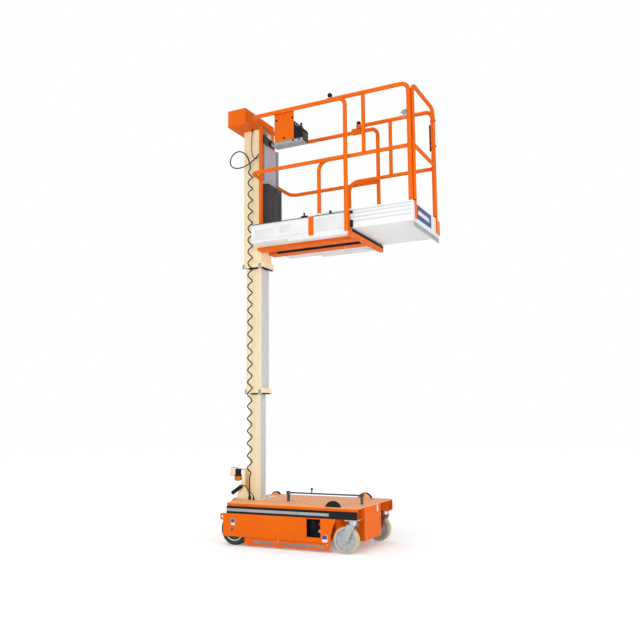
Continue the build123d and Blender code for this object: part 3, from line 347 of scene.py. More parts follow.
def coat(name, colour, worn, rough, peel=0.35, grain=220.0, metal=0.0, gloss=0.42):
    """Powder coat or skin: two tones by soft noise, rounded and rubbed edges, fine bump."""
    material = bpy.data.materials.new(name)
    tree, shader, place = opened(material)
    place = place["Object"]
    broad = layer(tree, "TexNoise", {"Vector": place, "Scale": 5.0, "Detail": 6.0, "Roughness": 0.65})
    aged = [0.84 * c + 0.16 * w for c, w in zip(colour, worn)]
    tones = toned(tree, broad, (0.30, aged), (0.62, colour))
    corner = layer(tree, "Bevel", {"Radius": EDGE_ROUND}, samples=4)
    align = agreed(tree, corner, layer(tree, "NewGeometry", {}, "Normal"))
    sharp = {"Value": align, "From Min": 0.995, "From Max": 0.90, "To Max": EDGE_RUB}
    rubbed = layer(tree, "MapRange", sharp)
    patchy = layer(tree, "Math", {0: rubbed, 1: broad}, operation="MULTIPLY")
    fine = layer(tree, "TexNoise", {"Vector": place, "Scale": grain, "Detail": 3.0})
    skin = {"Height": fine, "Normal": corner, "Strength": peel, "Distance": 0.0004}
    sheen = {"Value": broad, "To Min": rough - 0.06, "To Max": rough + 0.08}
    feed(tree, shader, {
        "Metallic": metal,
        "Specular IOR Level": gloss,
        "Base Color": painted_over(tree, patchy, tones, worn, name="finish"),
        "Roughness": layer(tree, "MapRange", sheen),
        "Normal": layer(tree, "Bump", skin, name="skin"),
    })
    return material


def dress(material, *names):
    """Lays one finish over whole nodes of the frame."""
    for name in names:
        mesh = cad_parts[name].data
        mesh.materials.clear()
        mesh.materials.append(material)


def made(name, bm, material, body):
    """Mesh piece that rides on a body, smooth except across sharp edges."""
    bmesh.ops.recalc_face_normals(bm, faces=bm.faces)
    for face in bm.faces:
        face.smooth = True
    for edge in bm.edges:
        edge.smooth = len(edge.link_faces) == 2 and edge.calc_face_angle() < 0.62
    mesh = bpy.data.meshes.new(name)
    bm.to_mesh(mesh)
    bm.free()
    mesh.materials.append(material)
    piece = bpy.data.objects.new(name, mesh)
    bpy.context.collection.objects.link(piece)
    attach(piece, body)
    return piece


def turned(bm, at, axis, profile, sides):
    """Form turned about an axis from pairs of radius and height; six sides give a hexagon."""
    axis = Vector(axis).normalized()
    across = axis.orthogonal().normalized()
    third = axis.cross(across)
    rings = []
    for radius, height in profile:
        middle = Vector(at) + height * axis
        if radius == 0:
            rings.append([bm.verts.new(middle)])
            continue
        angles = [math.tau * i / sides for i in range(sides)]
        rings.append([
            bm.verts.new(middle + radius * (math.cos(a) * across + math.sin(a) * third)) for a in angles
        ])
    for low, high in zip(rings, rings[1:]):
        for i in range(sides):
            j = (i + 1) % sides
            corners = [low[i % len(low)], low[j % len(low)], high[j % len(high)], high[i % len(high)]]
            bm.faces.new(list(dict.fromkeys(corners)))
    for ring in (rings[0], rings[-1]):
        if len(ring) > 1:
            bm.faces.new(ring)


def slab(bm, lo, hi, bevel):
    """Block between two opposite corners, with rounded edges."""
    corners = bmesh.ops.create_cube(bm, size=1.0)["verts"]
    for v in corners:
        v.co = Vector([min(a, b) + (c + 0.5) * abs(b - a) for c, a, b in zip(v.co, lo, hi)])
    edges = list({e for v in corners for e in v.link_edges})
    bmesh.ops.bevel(bm, geom=edges, offset=bevel, segments=2, affect="EDGES", profile=0.5)


orange = coat("orange powder coat", ORANGE, ORANGE_WORN, 0.42, gloss=0.06)
orange.node_tree.nodes["Principled BSDF"].inputs["Specular Tint"].default_value = (1.0, 0.45, 0.10, 1.0)
dress(orange, "chassis_side_near", "chassis_side_far")
white_plate = coat("white enamel plate", (0.78, 0.78, 0.76), (0.5, 0.5, 0.5), 0.35)
blue_plate = coat("blue enamel plate", (0.035, 0.065, 0.28), (0.02, 0.04, 0.16), 0.35)
PANEL_Y = 0.372
DIMPLES = [
    # along the panel and up
    (-0.5295, 0.188), (-0.4265, 0.217), (-0.3255, 0.222),
    (-0.4265, 0.155), (-0.3255, 0.153), (-0.2625, 0.187),
]
PLATES = [
    # lower rear corner along and up, length and height
    (-0.7035, 0.163, 0.038, 0.050),
    (0.1215, 0.080, 0.044, 0.054),
]
bm = bmesh.new()
for side in (-1, 1):
    for x, z in DIMPLES:
        turned(bm, (x, side * PANEL_Y, z), (0, side, 0), [(0.007, 0.0), (0.0055, 0.0011), (0.0, 0.0016)], 20)
made("panel_dimples", bm, orange, "base")
fields = bmesh.new()
plates = bmesh.new()
for side in (-1, 1):
    for x, z, length, height in PLATES:
        slab(plates, (x, side * PANEL_Y, z), (x + length, side * (PANEL_Y + 0.0012), z + height), 0.0004)
        slab(
            fields, (x + 0.002, side * (PANEL_Y + 0.0010), z + 0.4 * height),
            (x + length - 0.002, side * (PANEL_Y + 0.0017), z + height - 0.002), 0.0003,
        )
made("panel_plates", plates, white_plate, "base")
made("panel_plate_fields", fields, blue_plate, "base")

# Charger recess: a black moulded pan behind the near panel, with the flanged mains inlet,
# its three pins and hinged cap, and two switches with coloured buttons. A welded orange
# lip frames the cut in the panel.
CUT_X = (-0.0145, 0.1065)
CUT_Z = (0.110, 0.248)
LIP = 0.004
FLANGE = [(0.024, -0.004), (0.029, 0.0), (0.029, 0.003), (0.0185, 0.004), (0.0185, -0.012)]
PIN = [(0.0024, 0.0), (0.0024, 0.012), (0.0012, 0.014), (0.0, 0.014)]
BUTTON = [(0.0095, 0.0), (0.0115, 0.003), (0.0115, 0.007), (0.009, 0.0095), (0.0, 0.0105)]
black_plastic = coat(
    "black moulded plastic", (0.010, 0.009, 0.011), (0.04, 0.04, 0.044), 0.50, grain=600.0, gloss=0.14,
)
zinc = coat("zinc plate", (0.56, 0.56, 0.55), (0.36, 0.36, 0.35), 0.34, metal=1.0)
red_button = coat("red button", (0.42, 0.012, 0.010), (0.25, 0.01, 0.01), 0.32)
dress(black_plastic, "recess_pan")
recess_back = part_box("recess_pan")[1][1] - 0.003


def in_cut(across, out, up):
    """Place by shares of the cut's width and height, and a distance out from its back."""
    x = CUT_X[0] + across * (CUT_X[1] - CUT_X[0])
    z = CUT_Z[0] + up * (CUT_Z[1] - CUT_Z[0])
    return Vector((x, recess_back - out, z))


def strips_round(a0, a1, b0, b1, wide):
    """Four strips of one width round an opening: their ends along and across it."""
    return [
        (a0 - wide, a0, b0 - wide, b1 + wide), (a1, a1 + wide, b0 - wide, b1 + wide),
        (a0 - wide, a1 + wide, b0 - wide, b0), (a0 - wide, a1 + wide, b1, b1 + wide),
    ]


inlet = in_cut(0.33, 0.022, 0.55)
bm = bmesh.new()
turned(bm, inlet, (0, -1, 0), FLANGE, 32)
for angle in (90, 210, 330):
    a = math.radians(angle)
    pin = inlet + Vector((0.009 * math.cos(a), 0.012, 0.009 * math.sin(a)))
    turned(bm, pin, (0, -1, 0), PIN, 12)
slab(bm, inlet + Vector((-0.026, -0.006, 0.030)), inlet + Vector((0.026, -0.001, 0.046)), 0.002)
made("charger_inlet_flange", bm, black_plastic, "base")
bm = bmesh.new()
turned(bm, in_cut(0.77, 0.016, 0.7), (0, -1, 0), BUTTON, 28)
made("recess_stop_button", bm, red_button, "base")
bm = bmesh.new()
key = in_cut(0.77, 0.016, 0.3)
turned(bm, key, (0, -1, 0), BUTTON[:3] + [(0.010, 0.0078), (0.0, 0.0078)], 28)
slab(bm, key + Vector((-0.0016, -0.014, -0.009)), key + Vector((0.0016, -0.006, 0.009)), 0.0006)
made("recess_key_switch", bm, zinc, "base")
bm = bmesh.new()
for x0, x1, z0, z1 in strips_round(*CUT_X, *CUT_Z, LIP):
    slab(bm, (x0, -PANEL_Y - 0.0014, z0), (x1, -PANEL_Y + 0.0004, z1), 0.0005)
made("recess_lip", bm, orange, "base")

# Tub, nose and tail: welded orange sheet between the rails. The nose front carries one
# blank upright plate and four bolts.
dress(orange, "chassis_tub", "power_pack")
nose_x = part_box("chassis_tub")[1][0]


def bolts(name, body, axis, spots, head):
    """Zinc-plated hexagon heads of one size on washers, all facing along one axis."""
    bm = bmesh.new()
    washer = [(1.6 * head, 0.0), (1.6 * head, 0.2 * head), (1.45 * head, 0.3 * head), (0.0, 0.3 * head)]
    hexagon = [(head, 0.28 * head), (head, 0.88 * head), (0.84 * head, 1.02 * head), (0.0, 1.02 * head)]
    for spot in spots:
        turned(bm, spot, axis, washer, 20)
        turned(bm, spot, axis, hexagon, 6)
    return made(name, bm, zinc, body)


bm = bmesh.new()
slab(bm, (nose_x, 0.085, 0.268), (nose_x + 0.0012, 0.113, 0.332), 0.0004)
made("nose_plate", bm, white_plate, "base")
spots = [(nose_x, side * 0.135, z) for side in (-1, 1) for z in (0.105, 0.235)]
bolts("nose_bolts", "base", (1, 0, 0), spots, 0.0065)

# Deck: plate under two raised covers of chequered sheet, all in the orange coat painted paler as a highlight
# of glare on the tops.
# Screws hold the covers round their edges, with hinge barrels along the far edge and a
# small pull by the near one.
COVER_ENDS = [(-0.4845, -0.1915), (-0.1665, 0.3775)]
HINGE = [(0.0, 0.0), (0.004, 0.0), (0.0045, 0.001), (0.0045, 0.043), (0.004, 0.044), (0.0, 0.044)]
# The paler orange is painted glare: the orange coat lightened where the tops catch the light.
glare_lit_cover_coat = coat("orange cover with painted glare", (0.98, 0.43, 0.18), (0.62, 0.26, 0.12), 0.42, gloss=0.2)


def celled(tree, spread):
    """Coordinates that start again in every square cell, from its middle."""
    cell = layer(tree, "VectorMath", {0: spread}, operation="FRACTION")
    return layer(tree, "VectorMath", {0: cell, 1: (0.5, 0.5, 0.5)}, operation="SUBTRACT")


def chequer(material, pitch, height):
    """Raised lozenges in two directions, in a chequered pattern turned by 45 degrees."""
    tree, shader, place = opened(material)
    skew = (0.0, 0.0, math.radians(45))
    turn = layer(tree, "Mapping", {"Vector": place["Object"], "Rotation": skew, "Scale": (1 / pitch,) * 3})
    size = layer(tree, "VectorMath", {0: celled(tree, turn)}, operation="ABSOLUTE")
    lobes = [agreed(tree, size, shares) for shares in ((2.2, 7.0, 0.0), (7.0, 2.2, 0.0))]
    board = layer(tree, "TexChecker", {"Vector": turn, "Scale": 1.0}, "Fac")
    pick = layer(tree, "Mix", {0: board, 2: lobes[0], 3: lobes[1]})
    slopes = {"Value": pick, "From Min": 1.1, "From Max": 0.7}
    crown = layer(tree, "MapRange", slopes, interpolation_type="SMOOTHSTEP")
    skin = tree.nodes["skin"].outputs["Normal"]
    feed(tree, shader, {"Normal": layer(tree, "Bump", {"Height": crown, "Normal": skin, "Distance": height})})


chequer(glare_lit_cover_coat, 0.020, 0.0016)
dress(glare_lit_cover_coat, "deck_covers", "deck_plate")
cover_lo, cover_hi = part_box("deck_covers")
spots = []
bm = bmesh.new()
for x0, x1 in COVER_ENDS:
    for x in (x0 + 0.016, 0.5 * (x0 + x1), x1 - 0.016):
        spots += [(x, y, cover_hi[2]) for y in (cover_lo[1] + 0.016, cover_hi[1] - 0.016)]
    for x in (x0 + 0.07, x1 - 0.07):
        turned(bm, (x - 0.022, cover_hi[1] + 0.0045, cover_hi[2] + 0.001), (1, 0, 0), HINGE, 16)
    pull = Vector((0.5 * (x0 + x1) + 0.05, cover_lo[1], cover_hi[2]))
    slab(bm, pull + Vector((-0.03, 0.03, 0.0)), pull + Vector((0.03, 0.046, 0.003)), 0.001)
made("cover_hinges", bm, zinc, "base")
bolts("cover_screws", "base", (0, 0, 1), spots, 0.0045)

# Bumper: black extruded rubber with a bright aluminium strip let in. Screws with sunk
# heads hold the strip, and three moulded ribs run along each end block.
BAND_Z = 0.285
SCREW = [(0.0052, 0.0002), (0.0048, 0.00038), (0.0022, 0.00038), (0.0016, 0.0002), (0.0, 0.0002)]
black_rubber = coat("black rubber", (0.012, 0.012, 0.013), (0.05, 0.05, 0.05), 0.68, grain=350.0, gloss=0.16)
band_alloy = coat("bright strip", (0.46, 0.47, 0.48), (0.3, 0.3, 0.3), 0.36, metal=0.8)
dress(black_rubber, "bumper_rubber", "step_pads")
dress(band_alloy, "bumper_band")
screws = bmesh.new()
ribs = bmesh.new()
for side in (-1, 1):
    for x in (-0.727, -0.57, -0.41, -0.25, -0.09, 0.06, 0.166):
        turned(screws, (x, side * 0.3748, BAND_Z), (0, side, 0), SCREW, 18)
    for z in (0.266, BAND_Z, 0.304):
        slab(ribs, (0.2405, side * 0.3742, z - 0.0045), (0.4125, side * 0.3752, z + 0.0045), 0.0004)
made("band_screws", screws, zinc, "base")
made("block_ribs", ribs, black_rubber, "base")

# Pothole guards: slotted plates of orange steel, low along both sides. They hang on arms
# that lift them, with a hexagon bolt on each.
dress(orange, "pothole_guard_near", "pothole_guard_far")
GUARD_LENGTH = 0.759
guard_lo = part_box("pothole_guard_near")[0]
for side, name in ((-1, "near"), (1, "far")):
    places = [guard_lo[0] + share * GUARD_LENGTH for share in (0.04, 0.404, 0.975)]
    spots = [(x, -side * guard_lo[1], 0.058) for x in places]
    bolts("guard_bolts_" + name, "base", (0, side, 0), spots, 0.0042)

# Drive wheels: solid dark green tyre with shoulder grooves and a raised ring on the
# wall, pressed on a white steel rim that five nuts hold to the hub.
tyre_green = coat("dark green tyre", (0.016, 0.046, 0.038), (0.05, 0.07, 0.06), 0.62, grain=260.0)
rim_white = coat("white rim paint", (0.74, 0.73, 0.68), (0.45, 0.43, 0.38), 0.42)
dress(rim_white, "drive_rim_near", "drive_rim_far")
HUB_CAP = [(0.036, 0.0), (0.036, 0.002), (0.030, 0.0045), (0.012, 0.006), (0.0, 0.0062)]
for side, name in ((-1, "near"), (1, "far")):
    lo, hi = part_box("drive_tyre_" + name)
    middle = Vector([(a + b) / 2 for a, b in zip(lo, hi)])
    radius = (hi[2] - lo[2]) / 2
    half = (hi[1] - lo[1]) / 2
    bore = 0.725 * radius
    wall = [(bore, half - 0.002), (bore + 0.004, half), (bore + 0.012, half), (bore + 0.014, half - 0.002)]
    wall += [(radius - 0.018, half - 0.002), (radius - 0.016, half - 0.0005), (radius - 0.010, half - 0.0015)]
    wall += [(radius - 0.0035, half - 0.006), (radius, half - 0.013)]
    for groove in (0.62, 0.0):
        y = groove * half
        wall += [(radius, y + 0.0022), (radius - 0.0022, y + 0.0012)]
        wall += [(radius - 0.0022, y - 0.0012), (radius, y - 0.0022)]
    back = [(r, -y) for r, y in reversed(wall[:-4])]
    bm = bmesh.new()
    turned(bm, middle, (0, 1, 0), wall + back, 96)
    tyre = made("drive_tyre_" + name + "_moulded", bm, tyre_green, "drive_" + name)
    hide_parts("drive_tyre_" + name)
    face = middle + Vector((0, side * 0.005, 0))
    angles = [math.tau * i / 5 for i in range(5)]
    spots = [face + Vector((0.060 * math.cos(a), 0, 0.060 * math.sin(a))) for a in angles]
    bolts("drive_nuts_" + name, "drive_" + name, (0, side, 0), spots, 0.0085)
    bm = bmesh.new()
    end = middle + Vector((0, side * 0.025, 0))
    turned(bm, end, (0, side, 0), HUB_CAP, 32)
    made("drive_hub_cap_" + name, bm, zinc, "drive_" + name)
cast_grey = coat("grey casting", (0.50, 0.50, 0.51), (0.34, 0.34, 0.34), 0.50, grain=180.0)
dress(cast_grey, "drive_axle")

# Castors: pale yellow polyurethane on a ribbed grey hub, in a zinc-plated fork. Four
# bolts hold each top plate, the axle has a nut at each end, and the race a grease nipple.
castor_cream = coat("castor tread", (0.58, 0.49, 0.28), (0.40, 0.33, 0.20), 0.45, grain=240.0, gloss=0.25)
GREASE = [(0.003, 0), (0.003, 0.006), (0.0018, 0.008), (0.0, 0.009)]
AXLE_NUT = [(0.0135, 0.0), (0.0135, 0.007), (0.012, 0.009), (0.0, 0.009)]
AXLE_WASHER = [(0.016, 0.0), (0.016, 0.0018), (0.0, 0.0018)]


def prism(bm, outline, push, bevel):
    """Solid pushed out from a flat outline, with rounded edges."""
    base = [bm.verts.new(p) for p in outline]
    top = [bm.verts.new(Vector(p) + Vector(push)) for p in outline]
    bm.faces.new(base)
    bm.faces.new(list(reversed(top)))
    for i in range(len(base)):
        bm.faces.new([base[i - 1], base[i], top[i], top[i - 1]])
    edges = list({e for v in base + top for e in v.link_edges})
    bmesh.ops.bevel(bm, geom=edges, offset=bevel, segments=2, affect="EDGES", profile=0.5)


dress(castor_cream, "castor_tread_near", "castor_tread_far")
dress(cast_grey, "castor_hub_near", "castor_hub_far")
dress(zinc, "castor_fork_near", "castor_fork_far", "castor_plates")
for side, name in ((-1, "near"), (1, "far")):
    lo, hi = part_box("castor_tread_" + name)
    axle = Vector([(a + b) / 2 for a, b in zip(lo, hi)])
    king = axle + Vector((0.050, 0, 0))
    bm = bmesh.new()
    for t in (-1, 1):
        for i in range(8):
            a = math.tau * i / 8 + 0.2
            inner = axle + Vector((0.030 * math.cos(a), t * 0.0088, 0.030 * math.sin(a)))
            outer = axle + Vector((0.078 * math.cos(a), t * 0.0088, 0.078 * math.sin(a)))
            wide = Vector((-math.sin(a), 0, math.cos(a))) * 0.0032
            outline = [inner - wide, outer - wide, outer + wide, inner + wide]
            prism(bm, outline, (0, t * 0.006, 0), 0.0008)
    made("castor_ribs_" + name, bm, cast_grey, "castor_wheel_" + name)
    bm = bmesh.new()
    for t in (-1, 1):
        turned(bm, axle + Vector((0, t * 0.0325, 0)), (0, t, 0), AXLE_WASHER, 24)
        turned(bm, axle + Vector((0, t * 0.0335, 0)), (0, t, 0), AXLE_NUT, 6)
    turned(bm, king + Vector((0.031, 0, 0.124)), (1, 0, 0.4), GREASE, 12)
    made("castor_nuts_" + name, bm, zinc, "castor_" + name)
    spots = [king + Vector((dx, dy, 0.146)) for dx in (-0.039, 0.039) for dy in (-0.029, 0.029)]
    bolts("castor_bolts_" + name, "base", (0, 0, -1), spots, 0.0055)

# Brake release: a dark steel bar on two feet over the deck. Zinc collars grip it by its
# ends, and a thin zinc plate lies under each foot.
ROD_Y = -0.145
ROD_Z = 0.415
COLLAR = [(0.0065, 0), (0.012, 0), (0.013, 0.001), (0.013, 0.007), (0.012, 0.008), (0.0065, 0.008)]
dark_bar = coat("dark bar", (0.075, 0.078, 0.082), (0.2, 0.2, 0.2), 0.40, metal=0.5)
dress(dark_bar, "release_rod")
rod_lo, rod_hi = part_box("release_rod")
bm = bmesh.new()
for x in (rod_lo[0] + 0.024, rod_hi[0] - 0.032):
    turned(bm, (x, ROD_Y, ROD_Z), (1, 0, 0), COLLAR, 24)
    slab(bm, (x + 0.008, ROD_Y - 0.027, 0.347), (x + 0.028, ROD_Y + 0.027, 0.3495), 0.0008)
made("release_collars", bm, zinc, "base")

# Mast: three fluted aluminium extrusions in cream coat. The front of the two lower ones
# is bare anodised metal, because the section outside runs on it, and a pale painted
# highlight runs down their rounded corners toward it.
cream = coat("cream powder coat", (0.97, 0.80, 0.51), (0.66, 0.52, 0.31), 0.42, gloss=0.3)


def highlit_corners_and_bare_front(material, corner, colour):
    """Two other colours: a painted highlight on the rounded corners, and bare metal on the face toward the
    platform.
    """
    tree, shader, place = opened(material)
    toward = agreed(tree, place["Normal"], (1.0, 0.0, 0.0))
    below = tree.nodes["finish"].outputs[2]
    # The first tone is a painted highlight on the corners, the second the bare metal front.
    for low, high, tone in ((0.15, 0.35, corner), (0.75, 0.9, colour)):
        share = layer(tree, "MapRange", {"Value": toward, "From Min": low, "From Max": high})
        below = painted_over(tree, share, below, tone)
    feed(tree, shader, {"Base Color": below})


mast_coat = coat("mast section coat", (0.97, 0.80, 0.52), (0.66, 0.52, 0.31), 0.42, gloss=0.3)
highlit_corners_and_bare_front(mast_coat, (0.95, 0.84, 0.74), (0.60, 0.62, 0.62))
dress(mast_coat, "mast_lower", "mast_middle")
dress(cream, "mast_upper", "mast_foot", "middle_collar", "upper_collar")
dress(black_plastic, "middle_pads", "upper_pads")
for stem, body in (("lower", "base"), ("middle", "middle")):
    lo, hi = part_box("mast_" + stem)
    cap = bmesh.new()
    for x0, x1, y0, y1 in strips_round(lo[0] + 0.009, hi[0] - 0.009, lo[1] + 0.009, hi[1] - 0.009, 0.008):
        slab(cap, (x0, y0, hi[2]), (x1, y1, hi[2] + 0.003), 0.0008)
    made("mast_end_" + stem, cap, black_plastic, body)

# Collars: cream rings round the foot of each moving section. Grey clips, bolted at the
# front corners, hold the black pads that slide on the section inside.
CLIP_BOLT = [(0.0055, 0), (0.0055, 0.004), (0.0045, 0.005), (0.0, 0.005)]
for stem, body in (("middle", "middle"), ("upper", "platform")):
    lo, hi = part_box(stem + "_collar")
    clips = bmesh.new()
    band = bmesh.new()
    for side in (-1, 1):
        y = lo[1] if side < 0 else hi[1]
        for x0, x1 in ((hi[0] - 0.040, hi[0] - 0.010), (lo[0] + 0.004, lo[0] + 0.026)):
            slab(clips, (x0, y, lo[2] - 0.010), (x1, y + side * 0.006, lo[2] + 0.030), 0.0015)
            for z in (0.002, 0.020):
                at = (0.5 * (x0 + x1), y + side * 0.006, lo[2] + z)
                turned(clips, at, (0, side, 0), CLIP_BOLT, 6)
    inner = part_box("mast_" + stem)[1][0]
    slab(band, (inner - 0.004, lo[1] + 0.020, lo[2] - 0.011), (inner + 0.010, hi[1] - 0.020, lo[2]), 0.002)
    made(stem + "_collar_clips", clips, zinc, body)
    made(stem + "_front_pad", band, black_plastic, body)

# Foot: cream steel weldment that carries the mast, on five bolts through its plate. A
# row of weld beads lies along both sides of each gusset.
foot_lo, foot_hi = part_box("mast_foot")
plate_z = foot_lo[2] + 0.012
spots = [
    (x, y, plate_z) for x, y in (
        (foot_lo[0] + 0.020, -0.045), (foot_lo[0] + 0.020, 0.045), (foot_hi[0] - 0.022, -0.090),
        (foot_hi[0] - 0.022, 0.0), (foot_hi[0] - 0.022, 0.090),
    )
]
bolts("foot_bolts", "base", (0, 0, 1), spots, 0.0095)
bm = bmesh.new()
for y in (-0.108, 0.108):
    for side in (-1, 1):
        bead_y = y + side * 0.005 - (0.004 if y < 0 else -0.004)
        for i in range(24):
            x = foot_lo[0] + 0.040 + i * 0.0048
            turned(bm, (x, bead_y, plate_z), (0.5, 0, 1), [(0.0032, 0.0), (0.0026, 0.0016), (0.0, 0.0026)], 8)
made("foot_weld_beads", bm, cream, "base")

# Beacon: black base with a ribbed amber lens that hangs down from a flat black ring, and
# a cream box for its wiring behind.
amber = coat("amber moulding", (0.88, 0.22, 0.008), (0.6, 0.2, 0.02), 0.16, peel=0.05)
amber.node_tree.nodes["Principled BSDF"].inputs["Transmission Weight"].default_value = 0.35
dress(black_plastic, "beacon_body", "cord_fittings")
dome_lo, dome_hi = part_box("beacon_dome")
dome = Vector(((dome_lo[0] + dome_hi[0]) / 2, (dome_lo[1] + dome_hi[1]) / 2, dome_hi[2]))
radius = (dome_hi[0] - dome_lo[0]) / 2
deep = dome_hi[2] - dome_lo[2]
profile = [(radius, 0.0)]
for i in range(7):
    z = 0.004 + 0.0045 * i
    profile += [(radius - 0.0002, z), (radius - 0.0014, z + 0.0022)]
for i in range(8):
    a = 0.5 * math.pi * i / 7
    profile.append(((radius - 0.0014) * math.cos(a), deep - 0.0118 + 0.0115 * math.sin(a)))
profile[-1] = (0.0, deep - 0.0002)
bm = bmesh.new()
turned(bm, dome, (0, 0, -1), profile, 48)
lens_piece = made("beacon_lens", bm, amber, "base")
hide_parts("beacon_dome")
bm = bmesh.new()
body_lo, body_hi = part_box("beacon_body")
box_y = dome.y - 0.026
slab(bm, (body_lo[0], box_y, dome.z + 0.004), (body_lo[0] + 0.050, dome.y + 0.026, body_hi[2]), 0.003)
for x in (0.012, 0.038):
    screw_at = (body_lo[0] + x, box_y, dome.z + 0.020)
    turned(bm, screw_at, (0, -1, 0), [(0.003, 0), (0.003, 0.002), (0, 0.002)], 12)
made("beacon_wiring_box", bm, cream, "base")
bm = bmesh.new()
rim = [(radius + 0.001, -0.002), (radius + 0.002, 0.0), (radius + 0.001, 0.004), (0.028, 0.009)]
turned(bm, dome, (0, 0, 1), rim, 48)
made("beacon_ring", bm, black_plastic, "base")

# Glands: tapered, ribbed strain reliefs where the leads leave the deck and the charging
# handle, and the handle's own ribbed grip.
HANDLE_LENGTH = 0.1087
handle_axis = Vector((0.090, 0.0, 0.061)).normalized()
bm = bmesh.new()
RELIEF = [(0.0095, 0.0)]
for i in range(5):
    RELIEF += [(0.0092 - 0.0007 * i, 0.002 + 0.0052 * i), (0.0076 - 0.0006 * i, 0.0045 + 0.0052 * i)]
RELIEF += [(0.0056, 0.030)]
turned(bm, LOWER_LEAD[0], (0, 0, 1), RELIEF, 24)
turned(bm, PLUG_LEAD[-1], (0, 0, 1), [(0.8 * r, 0.45 * h) for r, h in RELIEF], 24)
turned(bm, PLUG_LEAD[0], handle_axis, [(0.8 * r, 0.5 * h) for r, h in RELIEF], 24)
made("lead_glands", bm, black_plastic, "base")
bm = bmesh.new()
GRIP = [(0.010, -0.0005), (0.0150, 0.001), (0.0165, 0.004)]
for i in range(9):
    GRIP += [(0.0168, 0.016 + 0.008 * i), (0.0158, 0.020 + 0.008 * i)]
GRIP += [(0.0168, 0.092), (0.0165, HANDLE_LENGTH - 0.004), (0.012, HANDLE_LENGTH + 0.0005)]
turned(bm, (-0.8465, -0.136, 0.389), handle_axis, GRIP, 36)
made("charge_plug_grip", bm, black_plastic, "base")

# Head: orange cover over the sheaves. A folded seam runs round its lower edge, screws
# hold its front, and a gland under it lets the thin lead out.
SEAM = 0.0016
dress(orange, "mast_head")
head_lo, head_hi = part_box("mast_head")
bm = bmesh.new()
for x0, x1, y0, y1 in (
    (head_lo[0], head_hi[0], head_lo[1] - SEAM, head_lo[1]),
    (head_lo[0], head_hi[0], head_hi[1], head_hi[1] + SEAM),
    (head_hi[0], head_hi[0] + SEAM, head_lo[1], head_hi[1]),
    (head_lo[0] - SEAM, head_lo[0], head_lo[1], head_hi[1]),
):
    slab(bm, (x0, y0, head_lo[2] + 0.002), (x1, y1, head_lo[2] + 0.016), 0.0005)
made("head_seam", bm, orange, "platform")
spots = [(head_hi[0] + SEAM, y, head_lo[2] + 0.009) for y in (-0.22, -0.075, 0.075, 0.22)]
bolts("head_screws", "platform", (1, 0, 0), spots, 0.0042)
bm = bmesh.new()
taper = [(0.009, 0.0), (0.009, 0.006), (0.006, 0.012), (0.0035, 0.020)]
turned(bm, (*HEAD_LEAD[0][:2], head_lo[2]), (0, 0, -1), taper, 20)
made("head_gland", bm, black_plastic, "platform")

# Platform deck: chequered aluminium floor with folded toe boards. Black edging runs along
# each board's top, blank plates are riveted to the near board, and two black handles that
# lock the extension stand over it.
RIVET_Z = 2.4935
SIGN_RIVET = [(0.0026, 0.0), (0.0022, 0.0008), (0.0, 0.0012)]
BOARD_RIVET = [(0.0042, 0.0), (0.0036, 0.0012), (0.0, 0.0020)]
SIGNS = [
    # along and up: lower rear corner, length, height
    (-0.500, 2.508, 0.180, 0.085),
    (-0.258, 2.545, 0.105, 0.060),
    (0.075, 2.520, 0.170, 0.100),
]
tread = coat("chequer plate", (0.86, 0.86, 0.86), (0.6, 0.6, 0.6), 0.46, metal=0.08)
# The ribs' darker grey is painted shade: the same sheet as the boards, darkened so the ribs show as lines.
rib_shade_grey = coat("rib grey with painted shade", (0.64, 0.65, 0.67), (0.46, 0.46, 0.47), 0.44, metal=0.1)


def floor_only(material):
    """The chequer only on the floor itself, and the smooth sheet's finish elsewhere."""
    tree, shader, place = opened(material)
    up = agreed(tree, place["Normal"], (0.0, 0.0, 1.0))
    level = layer(tree, "Math", {0: up, 1: 0.9}, operation="GREATER_THAN")
    feed(tree, shader.inputs["Normal"].links[0].from_node, {"Strength": level})


chequer(tread, 0.026, 0.0018)
floor_only(tread)
dress(tread, "platform_deck", "extension_deck")
dress(black_plastic, "extension_slides")
deck_lo, deck_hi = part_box("platform_deck")
TOE_X0 = deck_lo[0]
TOE_X1 = deck_hi[0]
TOE_Y = deck_hi[1]
TOE_TOP = deck_hi[2]
bm = bmesh.new()
for x0, x1, y0, y1 in (
    (TOE_X0 + 0.002, TOE_X1 - 0.002, -TOE_Y - 0.0006, -TOE_Y + 0.0048),
    (TOE_X0 + 0.002, TOE_X1 - 0.002, TOE_Y - 0.0048, TOE_Y + 0.0006),
    (TOE_X0 - 0.0006, TOE_X0 + 0.0048, -TOE_Y + 0.006, TOE_Y - 0.006),
):
    slab(bm, (x0, y0, TOE_TOP - 0.006), (x1, y1, TOE_TOP + 0.0012), 0.0006)
made("toe_board_edging", bm, dark_bar, "platform")
plates = bmesh.new()
rivets = bmesh.new()
for x, z, length, height in SIGNS:
    slab(plates, (x, -TOE_Y - 0.0012, z), (x + length, -TOE_Y, z + height), 0.0005)
    for dx in (0.006, length - 0.006):
        for dz in (0.006, height - 0.006):
            turned(rivets, (x + dx, -TOE_Y - 0.0012, z + dz), (0, -1, 0), SIGN_RIVET, 12)
made("toe_board_plates", plates, white_plate, "platform")
for x in (-0.52, -0.40, -0.28, -0.16, -0.04, 0.10, 0.22):
    for side in (-1, 1):
        turned(rivets, (x, side * TOE_Y, RIVET_Z), (0, side, 0), BOARD_RIVET, 14)
made("toe_board_rivets", rivets, zinc, "platform")
